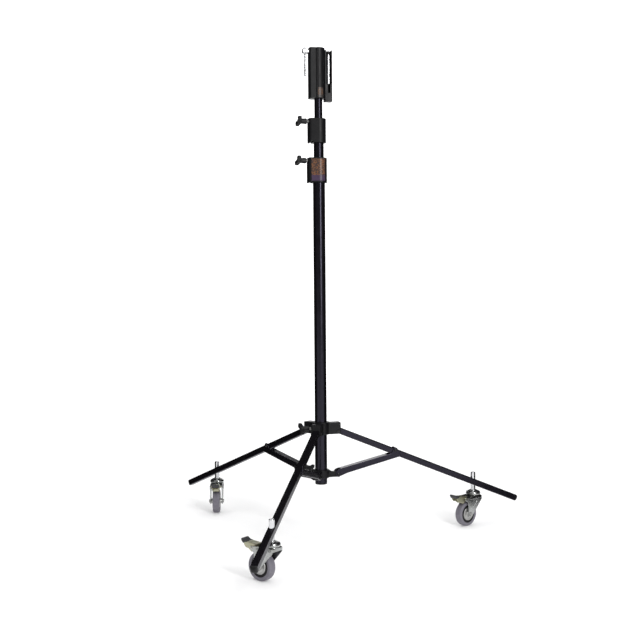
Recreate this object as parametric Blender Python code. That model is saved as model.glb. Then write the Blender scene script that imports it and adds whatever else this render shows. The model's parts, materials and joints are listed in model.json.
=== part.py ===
"""Wheeled combo lighting stand: three-section telescopic column on a folding base of three
square legs with braked swivel casters, and a combo head with a 28.6 mm socket and a
16 mm flip-out spigot. Metres, +Z up. The origin is on the ground under the middle of the
bounding box; the leg nearest -Y is leg 1, then leg 2 (+X side) and leg 3 (-X side)."""

import math

import bmesh
import bpy
from mathutils import Matrix, Vector

GAP = 0.0003  # running gap between neighbouring solids
FINE, MEDIUM, SMALL = 32, 24, 12  # sides of large, middling and small round shapes

# Column and risers
COLUMN_RADIUS = 0.01905
RISER_1_RADIUS = 0.0159
RISER_2_RADIUS = 0.0127
TUBE_WALL = 0.0016
COLUMN_FOOT_Z = 0.165
COLUMN_TOP_Z = 1.170
RISER_1_FOOT_Z = 0.250
RISER_1_TOP_Z = 1.293
RISER_2_FOOT_Z = 0.345
RISER_2_TOP_Z = 1.437

# Lock collars
COLUMN_COLLAR_Z = (1.120, 1.198)
RISER_COLLAR_Z = (1.245, 1.321)
SCREW_BELOW_RIM = 0.009
SCREW_RADIUS = 0.0047
LOCK_AZIMUTH = math.radians(210)  # every lock screw points between legs 1 and 3

# Head
HEAD_Z = (1.383, 1.541)
SOCKET_RADIUS = 0.0145
SOCKET_DEPTH = 0.101
HEAD_SCREW_BELOW_RIM = 0.011
CRADLE_Z = (1.375, 1.535)
SPIGOT_RADIUS = 0.00795
SPIGOT_OFFSET = 0.0326
SPIGOT_TILT_Y = -0.001
SPIGOT_HINGE_Z = 1.526
SPIGOT_TIP_Z = 1.430

# Folding base: brace and upper leg link are equally long, and their outer pivots lie on
# one circle round the column, so the hub slides straight up the column as the legs fold
PIVOT_RADIUS = 0.054
LOWER_PIVOT_Z = 0.1944
LINK_LENGTH = 0.204
LINK_SLOPE = math.radians(19.4)
LEG_SLOPE = math.radians(22.56)
LEG_AZIMUTHS = [math.radians(a) for a in (270, 30, 150)]
LEG_SIZE = 0.020
LEG_WALL = 0.0015
LEG_TIP_RADIUS = 0.677
PIN_RADIUS = 0.003
CHANNEL_INSIDE = 0.0212
CHANNEL_WALL = 0.002
HUB_Z = (0.324, 0.3635)
BRACKET_Z = (0.1855, 0.2115)

# Casters
STEM_RADIAL = 0.523
STEM_RADIUS = 0.008
STEM_TOP_Z = 0.173
WHEEL_RADIUS = 0.040
TRAIL = 0.036
CASTER_HEADINGS = [math.radians(a) for a in (157, 235, 287)]

# Places that follow from the dimensions above
UPPER_PIVOT_Z = LOWER_PIVOT_Z + 2 * LINK_LENGTH * math.sin(LINK_SLOPE)
MID_PIVOT_RADIUS = PIVOT_RADIUS + LINK_LENGTH * math.cos(LINK_SLOPE)
MID_PIVOT_Z = LOWER_PIVOT_Z + LINK_LENGTH * math.sin(LINK_SLOPE)
LEG_DROP = LINK_LENGTH * math.sin(LEG_SLOPE - LINK_SLOPE) / 2
LEG_UPPER_X = -LINK_LENGTH * math.cos(LEG_SLOPE - LINK_SLOPE)
LEG_TIP_X = (LEG_TIP_RADIUS - MID_PIVOT_RADIUS + LEG_DROP * math.sin(LEG_SLOPE)) / math.cos(LEG_SLOPE)
TIP_REACH = LEG_TIP_RADIUS + (LEG_SIZE / 2 - 0.003) * math.sin(LEG_SLOPE)
BACK_REACH = TIP_REACH * 0.5 + (LEG_SIZE / 2 - 0.003) * math.cos(math.radians(30))
STAND_Y = (TIP_REACH - BACK_REACH) / 2  # puts the origin under the middle of the box


# ---------------------------------------------------------------- materials


def material(name, colour, roughness, metallic):
    mat = bpy.data.materials.new(name)
    mat.use_nodes = True
    mat.diffuse_color = (*colour, 1.0)
    shader = mat.node_tree.nodes["Principled BSDF"]
    shader.inputs["Base Color"].default_value = (*colour, 1.0)
    shader.inputs["Roughness"].default_value = roughness
    shader.inputs["Metallic"].default_value = metallic
    return mat


# ---------------------------------------------------------------- mesh helpers


def arc(centre, radius, start_deg, end_deg, steps):
    """Points on an arc, both ends included."""
    points = []
    for i in range(steps + 1):
        a = math.radians(start_deg + (end_deg - start_deg) * i / steps)
        points.append((centre[0] + radius * math.cos(a), centre[1] + radius * math.sin(a)))
    return points


def rounded_rectangle(width, height, radius, steps=2):
    w, h = width / 2 - radius, height / 2 - radius
    points = arc((w, h), radius, 0, 90, steps) + arc((-w, h), radius, 90, 180, steps)
    return points + arc((-w, -h), radius, 180, 270, steps) + arc((w, -h), radius, 270, 360, steps)


def prism(outline, low, high):
    """The outline in XY, extruded from low to high along Z."""
    bm = bmesh.new()
    floor = [bm.verts.new((x, y, low)) for x, y in outline]
    roof = [bm.verts.new((x, y, high)) for x, y in outline]
    count = len(outline)
    bm.faces.new(floor)
    bm.faces.new(roof)
    for i in range(count):
        j = (i + 1) % count
        bm.faces.new((floor[i], floor[j], roof[j], roof[i]))
    bmesh.ops.recalc_face_normals(bm, faces=bm.faces)
    return bm


def turned(profile, segments, start_deg=0.0):
    """The (radius, height) profile turned about Z. A profile that starts and ends on the
    axis makes a solid, and any other is closed into a ring."""
    bm = bmesh.new()
    rings = []
    for radius, height in profile:
        if radius == 0:
            rings.append([bm.verts.new((0, 0, height))])
            continue
        ring = []
        for i in range(segments):
            a = math.radians(start_deg) + 2 * math.pi * i / segments
            ring.append(bm.verts.new((radius * math.cos(a), radius * math.sin(a), height)))
        rings.append(ring)
    pairs = list(zip(rings, rings[1:]))
    if profile[0][0] != 0:
        pairs.append((rings[-1], rings[0]))
    for a, b in pairs:
        for i in range(segments):
            j = (i + 1) % segments
            corners = [a[i % len(a)], a[j % len(a)], b[j % len(b)], b[i % len(b)]]
            bm.faces.new(list(dict.fromkeys(corners)))
    bmesh.ops.recalc_face_normals(bm, faces=bm.faces)
    return bm


def rod(radius, low, high, segments=MEDIUM, chamfer=0.0):
    if chamfer == 0.0:
        return turned([(0, low), (radius, low), (radius, high), (0, high)], segments)
    profile = [(0, low), (radius - chamfer, low), (radius, low + chamfer)]
    profile += [(radius, high - chamfer), (radius - chamfer, high), (0, high)]
    return turned(profile, segments)


def ring_tube(outer, inner, low, high, segments=FINE):
    return turned([(inner, low), (outer, low), (outer, high), (inner, high)], segments)


def block(x, y, z):
    """A box between the two values of each pair."""
    return prism([(x[0], y[0]), (x[1], y[0]), (x[1], y[1]), (x[0], y[1])], z[0], z[1])


def side_prism(outline, low, high):
    """The outline in XZ, extruded from low to high along Y."""
    bm = prism(outline, -high, -low)
    bm.transform(Matrix.Rotation(math.radians(90), 4, "X"))
    return bm


def along_y(bm):
    """Turns a shape's Z axis onto -Y."""
    bm.transform(Matrix.Rotation(math.radians(90), 4, "X"))
    return bm


def along_x(bm):
    """Turns a shape's Z axis onto +X."""
    bm.transform(Matrix.Rotation(math.radians(90), 4, "Y"))
    return bm


def shifted(bm, x=0.0, y=0.0, z=0.0):
    bm.transform(Matrix.Translation((x, y, z)))
    return bm


# ---------------------------------------------------------------- object helpers


def empty(name, parent=None, location=(0, 0, 0), rotation=(0, 0, 0)):
    obj = bpy.data.objects.new(name, None)
    bpy.context.collection.objects.link(obj)
    obj.parent = parent
    obj.location = location
    obj.rotation_euler = rotation
    return obj


def solid(name, bm, mat, parent, location=(0, 0, 0), rotation=(0, 0, 0)):
    mesh = bpy.data.meshes.new(name)
    bm.to_mesh(mesh)
    bm.free()
    mesh.materials.append(mat)
    mesh.shade_smooth()
    mesh.set_sharp_from_angle(angle=math.radians(35))
    obj = bpy.data.objects.new(name, mesh)
    bpy.context.collection.objects.link(obj)
    obj.parent = parent
    obj.location = location
    obj.rotation_euler = rotation
    return obj


def boolean(target, bm, operation):
    """Cuts the shape from the target, or joins it on, in the target's own coordinates."""
    mesh = bpy.data.meshes.new(target.name + "_tool")
    bm.to_mesh(mesh)
    bm.free()
    tool = bpy.data.objects.new(f"{target.name}_tool_{len(target.modifiers)}", mesh)
    bpy.context.collection.objects.link(tool)
    tool.parent = target
    tool.hide_render = True
    tool.display_type = "WIRE"
    modifier = target.modifiers.new(f"{operation.lower()}_{len(target.modifiers)}", "BOOLEAN")
    modifier.operation = operation
    modifier.solver = "EXACT"
    modifier.object = tool


def cut(target, bm):
    boolean(target, bm, "DIFFERENCE")


def join(target, bm):
    boolean(target, bm, "UNION")


# ---------------------------------------------------------------- shared pieces


def t_knob(name, mat, parent, location, rotation):
    """A T-knob on the +X axis: a round hub with a crossbar 47 mm across at its outer end, and a
    blind hole for its screw in the inner end."""
    hub = [(0, 0.0), (0.0085, 0.0), (0.0090, 0.0015), (0.0080, 0.0180), (0.0070, 0.0290), (0, 0.0290)]
    knob = solid(name, along_x(turned(hub, 16)), mat, parent, location, rotation)
    for side in (1, -1):
        outline = [(0.0120, 0.0035), (0.0165, 0.0080), (0.0185, 0.0165), (0.0200, 0.0235)]
        outline += [(0.0310, 0.0235), (0.0320, 0.0150), (0.0285, 0.0035)]
        outline = [(x, side * y) for x, y in outline]
        join(knob, prism(outline, -0.0055, 0.0055))
    cut(knob, along_x(rod(SCREW_RADIUS + GAP, -0.002, 0.009, SMALL)))
    return knob


def screw(name, mat, parent, inner, outer, location, rotation):
    """A lock screw on the +X axis from its tip to the end inside the knob."""
    return solid(name, along_x(rod(SCREW_RADIUS, inner, outer, SMALL)), mat, parent, location, rotation)


def pin(name, mat, parent, half_span, location):
    """A headed pin across the leg's plane: its two heads lie against the outer plates."""
    head, flat = 0.0055, 0.0028
    near, far = half_span + GAP, half_span + GAP + flat
    profile = [(0, -far), (head, -far), (head, -near), (PIN_RADIUS, -near)]
    profile += [(PIN_RADIUS, near), (head, near), (head, far), (0, far)]
    return solid(name, along_y(turned(profile, SMALL)), mat, parent, location)


# ---------------------------------------------------------------- column


def lock_collar(name, mat, parent, span, lower_bore, step_z, upper_bore, barrel, reach):
    """A cast collar: a barrel round the tube that blends into the boss of its lock screw."""
    low, high = span
    outline = arc((0, 0), barrel, -100, 100, 16)
    outline += [(-reach + 0.003, 0.0165), (-reach, 0.0135), (-reach, -0.0135), (-reach + 0.003, -0.0165)]
    body = solid(name, prism(outline, low, high), mat, parent, rotation=(0, 0, LOCK_AZIMUTH + math.pi))
    bevel = body.modifiers.new("edge", "BEVEL")
    bevel.width = 0.0012
    bevel.segments = 1
    bevel.limit_method = "ANGLE"
    bevel.angle_limit = math.radians(50)
    cut(body, rod(lower_bore, low - 0.01, step_z, FINE))
    cut(body, rod(upper_bore, low, high + 0.01, FINE))
    screw_z = high - SCREW_BELOW_RIM
    hole = along_x(rod(SCREW_RADIUS + GAP, -reach - 0.01, 0.0, SMALL))
    cut(body, shifted(hole, z=screw_z))
    notch_x = -(barrel + reach) / 2 + 0.004
    cut(body, block((notch_x - 0.003, notch_x + 0.003), (-0.03, 0.03), (low - 0.01, low + 0.004)))
    return body


def lock_set(prefix, mats, parent, z, tube_radius, reach, pad_length, turn):
    """The pad, screw and knob that clamp a tube from the lock side."""
    spin = (0, 0, LOCK_AZIMUTH)
    tip = tube_radius + GAP + pad_length + GAP
    axis = empty(prefix + "_lock_axis", parent, (0, 0, z), spin)
    if pad_length > 0:
        pad = along_x(rod(SCREW_RADIUS, tube_radius + GAP, tip - GAP, SMALL))
        solid(prefix + "_lock_pad", pad, mats["nylon"], axis)
    seat = reach + 0.0055
    screw(prefix + "_lock_screw", mats["steel"], axis, tip, seat + 0.0085, (0, 0, 0), (turn, 0, 0))
    t_knob(prefix + "_lock_knob", mats["plastic"], axis, (seat, 0, 0), (turn, 0, 0))


def guide_bush(name, mat, parent, flange_radius, spigot_radius, bore, tube_foot):
    """The plastic foot of a riser: a flange that slides in the tube below, plugged into the riser."""
    profile = [(bore, tube_foot - 0.015), (flange_radius, tube_foot - 0.015)]
    profile += [(flange_radius, tube_foot - GAP), (spigot_radius, tube_foot - GAP)]
    profile += [(spigot_radius, tube_foot + 0.020), (bore, tube_foot + 0.020)]
    return solid(name, turned(profile, FINE), mat, parent)


def build_column(mats, stand):
    column = ring_tube(COLUMN_RADIUS, COLUMN_RADIUS - TUBE_WALL, COLUMN_FOOT_Z + 0.005, COLUMN_TOP_Z - GAP)
    solid("column_tube", column, mats["paint"], stand)
    foot = COLUMN_FOOT_Z
    insert = COLUMN_RADIUS - TUBE_WALL - GAP
    plug = [(0, foot), (COLUMN_RADIUS - 0.002, foot), (COLUMN_RADIUS, foot + 0.002)]
    plug += [(COLUMN_RADIUS, foot + 0.005 - GAP), (insert, foot + 0.005 - GAP)]
    plug += [(insert, foot + 0.020), (insert - 0.003, foot + 0.020), (insert - 0.003, foot + 0.006)]
    plug += [(0, foot + 0.006)]
    solid("column_end_plug", turned(plug, FINE), mats["plastic"], stand)
    lock_collar(
        "column_collar",
        mats["casting"],
        stand,
        COLUMN_COLLAR_Z,
        COLUMN_RADIUS + GAP,
        COLUMN_TOP_Z,
        RISER_1_RADIUS + 0.0004,
        0.0255,
        0.0365,
    )
    z = COLUMN_COLLAR_Z[1] - SCREW_BELOW_RIM
    lock_set("column", mats, stand, z, RISER_1_RADIUS, 0.0365, 0.003, math.radians(22))


def build_risers(mats, stand):
    wall = TUBE_WALL
    tube_1 = ring_tube(RISER_1_RADIUS, RISER_1_RADIUS - wall, RISER_1_FOOT_Z, RISER_1_TOP_Z - GAP)
    solid("riser_1_tube", tube_1, mats["paint"], stand)
    tube_2 = ring_tube(RISER_2_RADIUS, RISER_2_RADIUS - wall, RISER_2_FOOT_Z, RISER_2_TOP_Z - GAP)
    solid("riser_2_tube", tube_2, mats["paint"], stand)
    outer_1, plug_1 = COLUMN_RADIUS - wall - GAP, RISER_1_RADIUS - wall - GAP
    guide_bush("riser_1_guide_bush", mats["nylon"], stand, outer_1, plug_1, 0.009, RISER_1_FOOT_Z)
    outer_2, plug_2 = RISER_1_RADIUS - wall - GAP, RISER_2_RADIUS - wall - GAP
    guide_bush("riser_2_guide_bush", mats["nylon"], stand, outer_2, plug_2, 0.006, RISER_2_FOOT_Z)
    lock_collar(
        "riser_collar",
        mats["casting"],
        stand,
        RISER_COLLAR_Z,
        RISER_1_RADIUS + GAP,
        RISER_1_TOP_Z,
        RISER_2_RADIUS + 0.0004,
        0.0232,
        0.0335,
    )
    z = RISER_COLLAR_Z[1] - SCREW_BELOW_RIM
    lock_set("riser", mats, stand, z, RISER_2_RADIUS, 0.0335, 0.003, math.radians(22))


# ---------------------------------------------------------------- head


def build_head(mats, stand):
    """The combo head. Its local +X carries the spigot's cradle and -X the socket's screw."""
    low, high = HEAD_Z
    head_frame = empty("head_frame", stand, rotation=(0, 0, LOCK_AZIMUTH + math.pi))
    barrel, reach = 0.0208, 0.0300
    outline = arc((0, 0), barrel, -112, 112, 18)
    outline += [(-0.0105, 0.0170), (-reach + 0.002, 0.0150), (-reach, 0.0130)]
    outline += [(-reach, -0.0130), (-reach + 0.002, -0.0150), (-0.0105, -0.0170)]
    head = solid("head_receiver", prism(outline, low, high), mats["casting"], head_frame)
    for side in (1, -1):
        join(head, shifted(rod(0.0022, low + 0.001, high - 0.001, SMALL), -0.0085, side * 0.0185))
    wall_in, wall_out, half = 0.0190, 0.0434, 0.0105
    join(head, block((wall_in, wall_out), (-half, half), CRADLE_Z))
    slot = (SPIGOT_OFFSET - SPIGOT_RADIUS - 0.0004, SPIGOT_OFFSET + SPIGOT_RADIUS + 0.0004)
    cut(head, block(slot, (-half - 0.01, 0.0078), (SPIGOT_TIP_Z - 0.0015, CRADLE_Z[1] + 0.02)))
    narrow = (SPIGOT_OFFSET - 0.0045, SPIGOT_OFFSET + 0.0045)
    cut(head, block(narrow, (-half - 0.01, 0.006), (1.402, SPIGOT_TIP_Z)))
    cut(head, rod(RISER_2_RADIUS + GAP, low - 0.02, RISER_2_TOP_Z, FINE))
    cut(head, rod(0.009, low, high))
    cut(head, rod(SOCKET_RADIUS, high - SOCKET_DEPTH, high + 0.02, FINE))
    screw_z = high - HEAD_SCREW_BELOW_RIM
    cut(head, shifted(along_x(rod(0.0058, -reach - 0.01, 0.0, SMALL)), z=screw_z))
    hinge_hole = along_x(rod(0.0027, wall_in + 0.001, wall_out + 0.01, SMALL))
    cut(head, shifted(hinge_hole, y=SPIGOT_TILT_Y, z=SPIGOT_HINGE_Z))

    screw_axis = empty("head_screw_axis", stand, (0, 0, screw_z), (0, 0, LOCK_AZIMUTH))
    start, shoulder, end = SOCKET_RADIUS + 0.0002, reach + 0.0035, reach + 0.0200
    profile = [(0, start), (0.0045, start), (0.0055, start + 0.001), (0.0055, shoulder)]
    profile += [(0.0078, shoulder), (0.0078, end - 0.001), (0.0068, end), (0, end)]
    lock = solid("head_lock_screw", along_x(turned(profile, 16)), mats["chrome"], screw_axis)
    bar_x = (shoulder + end) / 2 + 0.001
    cut(lock, shifted(rod(0.0034, -0.02, 0.02, SMALL), x=bar_x))
    bar = [(0, -0.0780), (0.0042, -0.0780), (0.0042, -0.0755), (0.0031, -0.0755), (0.0031, 0.0081)]
    bar += [(0.0042, 0.0081), (0.0042, 0.0106), (0, 0.0106)]
    solid("head_tommy_bar", turned(bar, SMALL), mats["chrome"], screw_axis, (bar_x, 0, 0))

    tip, root = SPIGOT_TIP_Z - SPIGOT_HINGE_Z, 0.0076
    groove = tip + 0.027
    profile = [(0, tip), (SPIGOT_RADIUS - 0.0015, tip), (SPIGOT_RADIUS, tip + 0.0015)]
    profile += [(SPIGOT_RADIUS, groove - 0.003), (0.0063, groove - 0.0015), (0.0063, groove + 0.0015)]
    profile += [(SPIGOT_RADIUS, groove + 0.003), (SPIGOT_RADIUS, 0.001)]
    dome = root - 0.001
    profile += [(SPIGOT_RADIUS * math.cos(a), 0.001 + dome * math.sin(a)) for a in (0.5, 1.0)]
    profile += [(0, root)]
    hinge = (SPIGOT_OFFSET, SPIGOT_TILT_Y, SPIGOT_HINGE_Z)
    spigot = solid("spigot", turned(profile, MEDIUM), mats["chrome"], head_frame, hinge)
    cut(spigot, along_x(rod(0.0027, -0.02, 0.02, SMALL)))
    span = (wall_in + 0.0035 - SPIGOT_OFFSET, wall_out + 0.0006 - SPIGOT_OFFSET)
    solid("spigot_hinge_pin", along_x(rod(0.0024, span[0], span[1], SMALL)), mats["steel"], head_frame, hinge)


# ---------------------------------------------------------------- folding base


def build_hub(mats, stand):
    low, high = HUB_Z
    sleeve = 0.0265
    hub = solid("upper_hub", rod(sleeve, low, high, FINE), mats["casting"], stand)
    half = CHANNEL_INSIDE / 2
    arm_top, roof = high - 0.0025, UPPER_PIVOT_Z + 0.0212
    for azimuth in LEG_AZIMUTHS:
        arm = block((0.018, PIVOT_RADIUS + 0.0085), (-half - 0.004, half + 0.004), (low, arm_top))
        bmesh.ops.rotate(arm, verts=arm.verts, matrix=Matrix.Rotation(azimuth, 3, "Z"))
        join(hub, arm)
    for azimuth in LEG_AZIMUTHS:
        slot = block((0.0285, PIVOT_RADIUS + 0.02), (-half, half), (low - 0.01, roof))
        hole = shifted(along_y(rod(PIN_RADIUS + GAP, -0.03, 0.03, SMALL)), x=PIVOT_RADIUS, z=UPPER_PIVOT_Z)
        for tool in (slot, hole):
            bmesh.ops.rotate(tool, verts=tool.verts, matrix=Matrix.Rotation(azimuth, 3, "Z"))
            cut(hub, tool)
    boss = shifted(along_x(rod(0.0095, 0.015, 0.0335, 16)), z=(low + high) / 2)
    bmesh.ops.rotate(boss, verts=boss.verts, matrix=Matrix.Rotation(LOCK_AZIMUTH, 3, "Z"))
    join(hub, boss)
    cut(hub, rod(COLUMN_RADIUS + 0.0004, low - 0.01, high + 0.01, FINE))
    hole = shifted(along_x(rod(SCREW_RADIUS + GAP, 0.0, 0.05, SMALL)), z=(low + high) / 2)
    bmesh.ops.rotate(hole, verts=hole.verts, matrix=Matrix.Rotation(LOCK_AZIMUTH, 3, "Z"))
    cut(hub, hole)
    lock_set("hub", mats, stand, (low + high) / 2, COLUMN_RADIUS + 0.0004, 0.0335, 0, math.radians(150))


def build_bracket(mats, stand):
    low, high = BRACKET_Z
    bracket = solid("lower_bracket", rod(0.0255, low, high, FINE), mats["casting"], stand)
    half = CHANNEL_INSIDE / 2 - 0.0007
    for azimuth in LEG_AZIMUTHS:
        x, z = PIVOT_RADIUS, LOWER_PIVOT_Z
        outline = [(0.018, z - 0.0085), (x, z - 0.0085)] + arc((x, z), 0.0085, -60, 90, 5)
        outline += [(0.036, z + 0.0085), (0.024, high - 0.001), (0.018, high - 0.001)]
        lug = side_prism(outline, -half, half)
        bmesh.ops.rotate(lug, verts=lug.verts, matrix=Matrix.Rotation(azimuth, 3, "Z"))
        join(bracket, lug)
    cut(bracket, rod(COLUMN_RADIUS + GAP, low - 0.01, high + 0.01, FINE))
    for azimuth in LEG_AZIMUTHS:
        hole = shifted(along_y(rod(PIN_RADIUS + GAP, -0.03, 0.03, SMALL)), x=PIVOT_RADIUS, z=LOWER_PIVOT_Z)
        bmesh.ops.rotate(hole, verts=hole.verts, matrix=Matrix.Rotation(azimuth, 3, "Z"))
        cut(bracket, hole)


def build_brace(index, mats, frame):
    """A channel that opens downwards. Its own +X runs from its lower pivot to its outer one."""
    inside, wall = CHANNEL_INSIDE / 2, CHANNEL_WALL
    reach = LINK_LENGTH
    skew = math.tan(math.radians(5.7))

    def middle(x):
        return 0.0054 - x * skew

    depth = 0.010
    outline = arc((0, 0), 0.0088, 150, 290, 6)
    outline += [(0.030, middle(0.030) - depth), (reach + 0.0095, middle(reach + 0.0095) - depth)]
    outline += [(reach + 0.0125, middle(reach) - depth + 0.003)]
    outline += arc((reach, 0), 0.0085, 0, 130, 5)
    outline += [(reach - 0.0165, middle(reach) + depth), (0.004, middle(0.004) + depth)]
    outline += [(-0.004, 0.0125)]
    brace = solid(
        f"brace_{index}",
        side_prism(outline, -inside - wall, inside + wall),
        mats["paint"],
        frame,
        (PIVOT_RADIUS, 0, LOWER_PIVOT_Z),
        (0, -LINK_SLOPE, 0),
    )
    web_from, web_to = 0.014, reach - 0.033
    roof = depth - wall
    inner = [(-0.03, -0.05), (reach + 0.03, -0.05), (reach + 0.03, 0.03), (web_to, 0.03)]
    inner += [(web_to, middle(web_to) + roof), (web_from, middle(web_from) + roof)]
    inner += [(web_from, 0.03), (-0.03, 0.03)]
    cut(brace, side_prism(inner, -inside, inside))
    for x in (0, reach):
        cut(brace, shifted(along_y(rod(PIN_RADIUS + GAP, -0.03, 0.03, SMALL)), x=x))
    return brace


def build_leg(index, mats, frame):
    """A square tube. Its own +X runs down the leg from the pivot on the brace."""
    start, end = LEG_UPPER_X - 0.013, LEG_TIP_X - 0.006
    pivot = empty(f"leg_{index}_pivot", frame, (MID_PIVOT_RADIUS, 0, MID_PIVOT_Z), (0, LEG_SLOPE, 0))
    section = along_x(prism(rounded_rectangle(LEG_SIZE, LEG_SIZE, 0.003), start, end))
    leg = solid(f"leg_tube_{index}", shifted(section, z=-LEG_DROP), mats["paint"], pivot)
    bore = LEG_SIZE - 2 * LEG_WALL
    hollow = along_x(prism(rounded_rectangle(bore, bore, 0.0015, 1), start - 0.01, end + 0.01))
    cut(leg, shifted(hollow, z=-LEG_DROP))
    cut(leg, along_y(rod(PIN_RADIUS + GAP, -0.03, 0.03, SMALL)))
    cut(leg, shifted(along_y(rod(PIN_RADIUS + GAP, -0.03, 0.03, SMALL)), x=LEG_UPPER_X, z=-2 * LEG_DROP))
    drop = (STEM_RADIAL - MID_PIVOT_RADIUS + LEG_DROP * math.sin(LEG_SLOPE)) / math.cos(LEG_SLOPE)
    socket = rod(STEM_RADIUS + GAP, -0.04, 0.04, 20)
    socket.transform(Matrix.Rotation(-LEG_SLOPE, 4, "Y"))
    cut(leg, shifted(socket, x=drop, z=-LEG_DROP))

    plug = rounded_rectangle(bore - 2 * GAP, bore - 2 * GAP, 0.0012, 1)
    cover = along_x(prism(rounded_rectangle(LEG_SIZE, LEG_SIZE, 0.003), end + GAP, LEG_TIP_X))
    cap = solid(f"leg_end_cap_{index}", shifted(cover, z=-LEG_DROP), mats["plastic"], pivot)
    join(cap, shifted(along_x(prism(plug, end - 0.014, end + 0.003)), z=-LEG_DROP))


def build_base(mats, stand):
    build_hub(mats, stand)
    build_bracket(mats, stand)
    for index, azimuth in enumerate(LEG_AZIMUTHS, 1):
        frame = empty(f"leg_{index}_frame", stand, rotation=(0, 0, azimuth))
        build_brace(index, mats, frame)
        build_leg(index, mats, frame)
        half = CHANNEL_INSIDE / 2
        upper, lower = (PIVOT_RADIUS, 0, UPPER_PIVOT_Z), (PIVOT_RADIUS, 0, LOWER_PIVOT_Z)
        middle = (MID_PIVOT_RADIUS, 0, MID_PIVOT_Z)
        pin(f"hub_pin_{index}", mats["steel"], frame, half + 0.004, upper)
        pin(f"bracket_pin_{index}", mats["steel"], frame, half + CHANNEL_WALL, lower)
        if index > 1:
            pin(f"brace_pin_{index}", mats["steel"], frame, half + CHANNEL_WALL, middle)
    frame = bpy.data.objects["leg_1_frame"]
    build_leveling_clamp(mats, frame)


def build_leveling_clamp(mats, frame):
    """Leg 1's brace is clamped to its leg by a bolt with a T-knob, in place of a plain pin."""
    span = CHANNEL_INSIDE / 2 + CHANNEL_WALL
    axis = empty("leveling_axis", frame, (MID_PIVOT_RADIUS, 0, MID_PIVOT_Z), (0, 0, math.radians(90)))
    near, end = span + GAP, span + 0.0100
    profile = [(0, -near - 0.003), (0.0055, -near - 0.003), (0.0055, -near), (PIN_RADIUS, -near)]
    profile += [(PIN_RADIUS, end), (0, end)]
    solid("leveling_bolt", along_x(turned(profile, SMALL)), mats["steel"], axis)
    knob = t_knob("leveling_knob", mats["plastic"], axis, (span + 0.0035, 0, 0), (math.radians(8), 0, 0))
    knob.scale = (0.8, 0.8, 0.8)


# ---------------------------------------------------------------- casters


def build_caster(index, mats, stand, azimuth, heading):
    """A braked swivel caster. Its own +X is the way its wheel trails."""
    foot = (STEM_RADIAL * math.cos(azimuth), STEM_RADIAL * math.sin(azimuth), 0)
    swivel = empty(f"caster_{index}_swivel", stand, foot, (0, 0, heading))
    stem = [(0, 0.0885), (STEM_RADIUS, 0.0885), (STEM_RADIUS, STEM_TOP_Z - 0.0015)]
    stem += [(STEM_RADIUS - 0.0015, STEM_TOP_Z), (0, STEM_TOP_Z)]
    solid(f"caster_stem_{index}", turned(stem, 20), mats["chrome"], swivel)

    cup = [(0.0, 0.099), (0.0215, 0.099), (0.0240, 0.103), (0.0240, 0.108), (0.0215, 0.112)]
    cup += [(0.0140, 0.1135), (0.0, 0.1135)]
    fork = solid(f"caster_fork_{index}", turned(cup, MEDIUM), mats["zinc"], swivel)
    gap_half, plate = 0.0190, 0.0030
    crown = [(-0.019, 0.0860), (0.040, 0.0860), (0.040, 0.0945), (0.022, 0.1005), (-0.019, 0.1005)]
    join(fork, side_prism(crown, -gap_half - plate, gap_half + plate))
    cheek = [(-0.019, 0.0990), (-0.0185, 0.0700), (-0.0080, 0.0520)]
    cheek += arc((TRAIL, WHEEL_RADIUS), 0.0105, 225, 350, 6)
    cheek += [(0.0455, 0.0560), (0.0470, 0.0800), (0.0600, 0.0860), (0.0600, 0.0990), (0.040, 0.0995)]
    for side in (-1, 1):
        faces = sorted((side * gap_half, side * (gap_half + plate)))
        join(fork, side_prism(cheek, faces[0], faces[1]))
    cut(fork, rod(STEM_RADIUS + GAP, 0.08, 0.12, 20))
    axle_hole = shifted(along_y(rod(0.0043, -0.04, 0.04, SMALL)), x=TRAIL, z=WHEEL_RADIUS)
    cut(fork, axle_hole)
    cut(fork, shifted(along_y(rod(0.0023, -0.04, 0.04, SMALL)), x=0.052, z=0.093))

    axle_place = (TRAIL, 0, WHEEL_RADIUS)
    half = gap_half + plate + GAP
    axle = [(0, -half - 0.004), (0.0065, -half - 0.004), (0.0065, -half), (0.0040, -half)]
    axle += [(0.0040, half), (0.0065, half), (0.0065, half + 0.004), (0, half + 0.004)]
    solid(f"caster_axle_{index}", along_y(turned(axle, SMALL)), mats["steel"], swivel, axle_place)

    hub = [(0.0043, -0.0187), (0.0085, -0.0187), (0.0095, -0.0140), (0.0205, -0.0125)]
    hub += [(0.0275, -0.0105), (0.0275, 0.0105), (0.0205, 0.0125)]
    hub += [(0.0095, 0.0140), (0.0085, 0.0187), (0.0043, 0.0187)]
    solid(f"caster_hub_{index}", along_y(turned(hub, MEDIUM)), mats["plastic"], swivel, axle_place)
    tyre = [(0.0278, -0.0110), (0.0355, -0.0115), (0.0388, -0.0070), (WHEEL_RADIUS, 0.0)]
    tyre += [(0.0388, 0.0070), (0.0355, 0.0115), (0.0278, 0.0110)]
    solid(f"caster_tyre_{index}", along_y(turned(tyre, FINE)), mats["rubber"], swivel, axle_place)

    pedal = [(0.0435, 0.0880), (0.0500, 0.0860), (0.0570, 0.0790), (0.0620, 0.0765)]
    pedal += [(0.0675, 0.0795), (0.0720, 0.0860), (0.0800, 0.0865), (0.0855, 0.0925)]
    pedal += [(0.0920, 0.1000), (0.1000, 0.1050), (0.0990, 0.1090), (0.0945, 0.1100)]
    pedal += [(0.0820, 0.1055), (0.0680, 0.1015), (0.0435, 0.1010)]
    pivot = (0.052, 0.093)
    pedal = [(x - pivot[0], z - pivot[1]) for x, z in pedal]
    place = (pivot[0], 0, pivot[1])
    brake = solid(f"caster_brake_{index}", side_prism(pedal, -0.0125, 0.0125), mats["brake"], swivel, place)
    join(brake, along_y(rod(0.0020, -0.0215, 0.0215, SMALL)))


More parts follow.
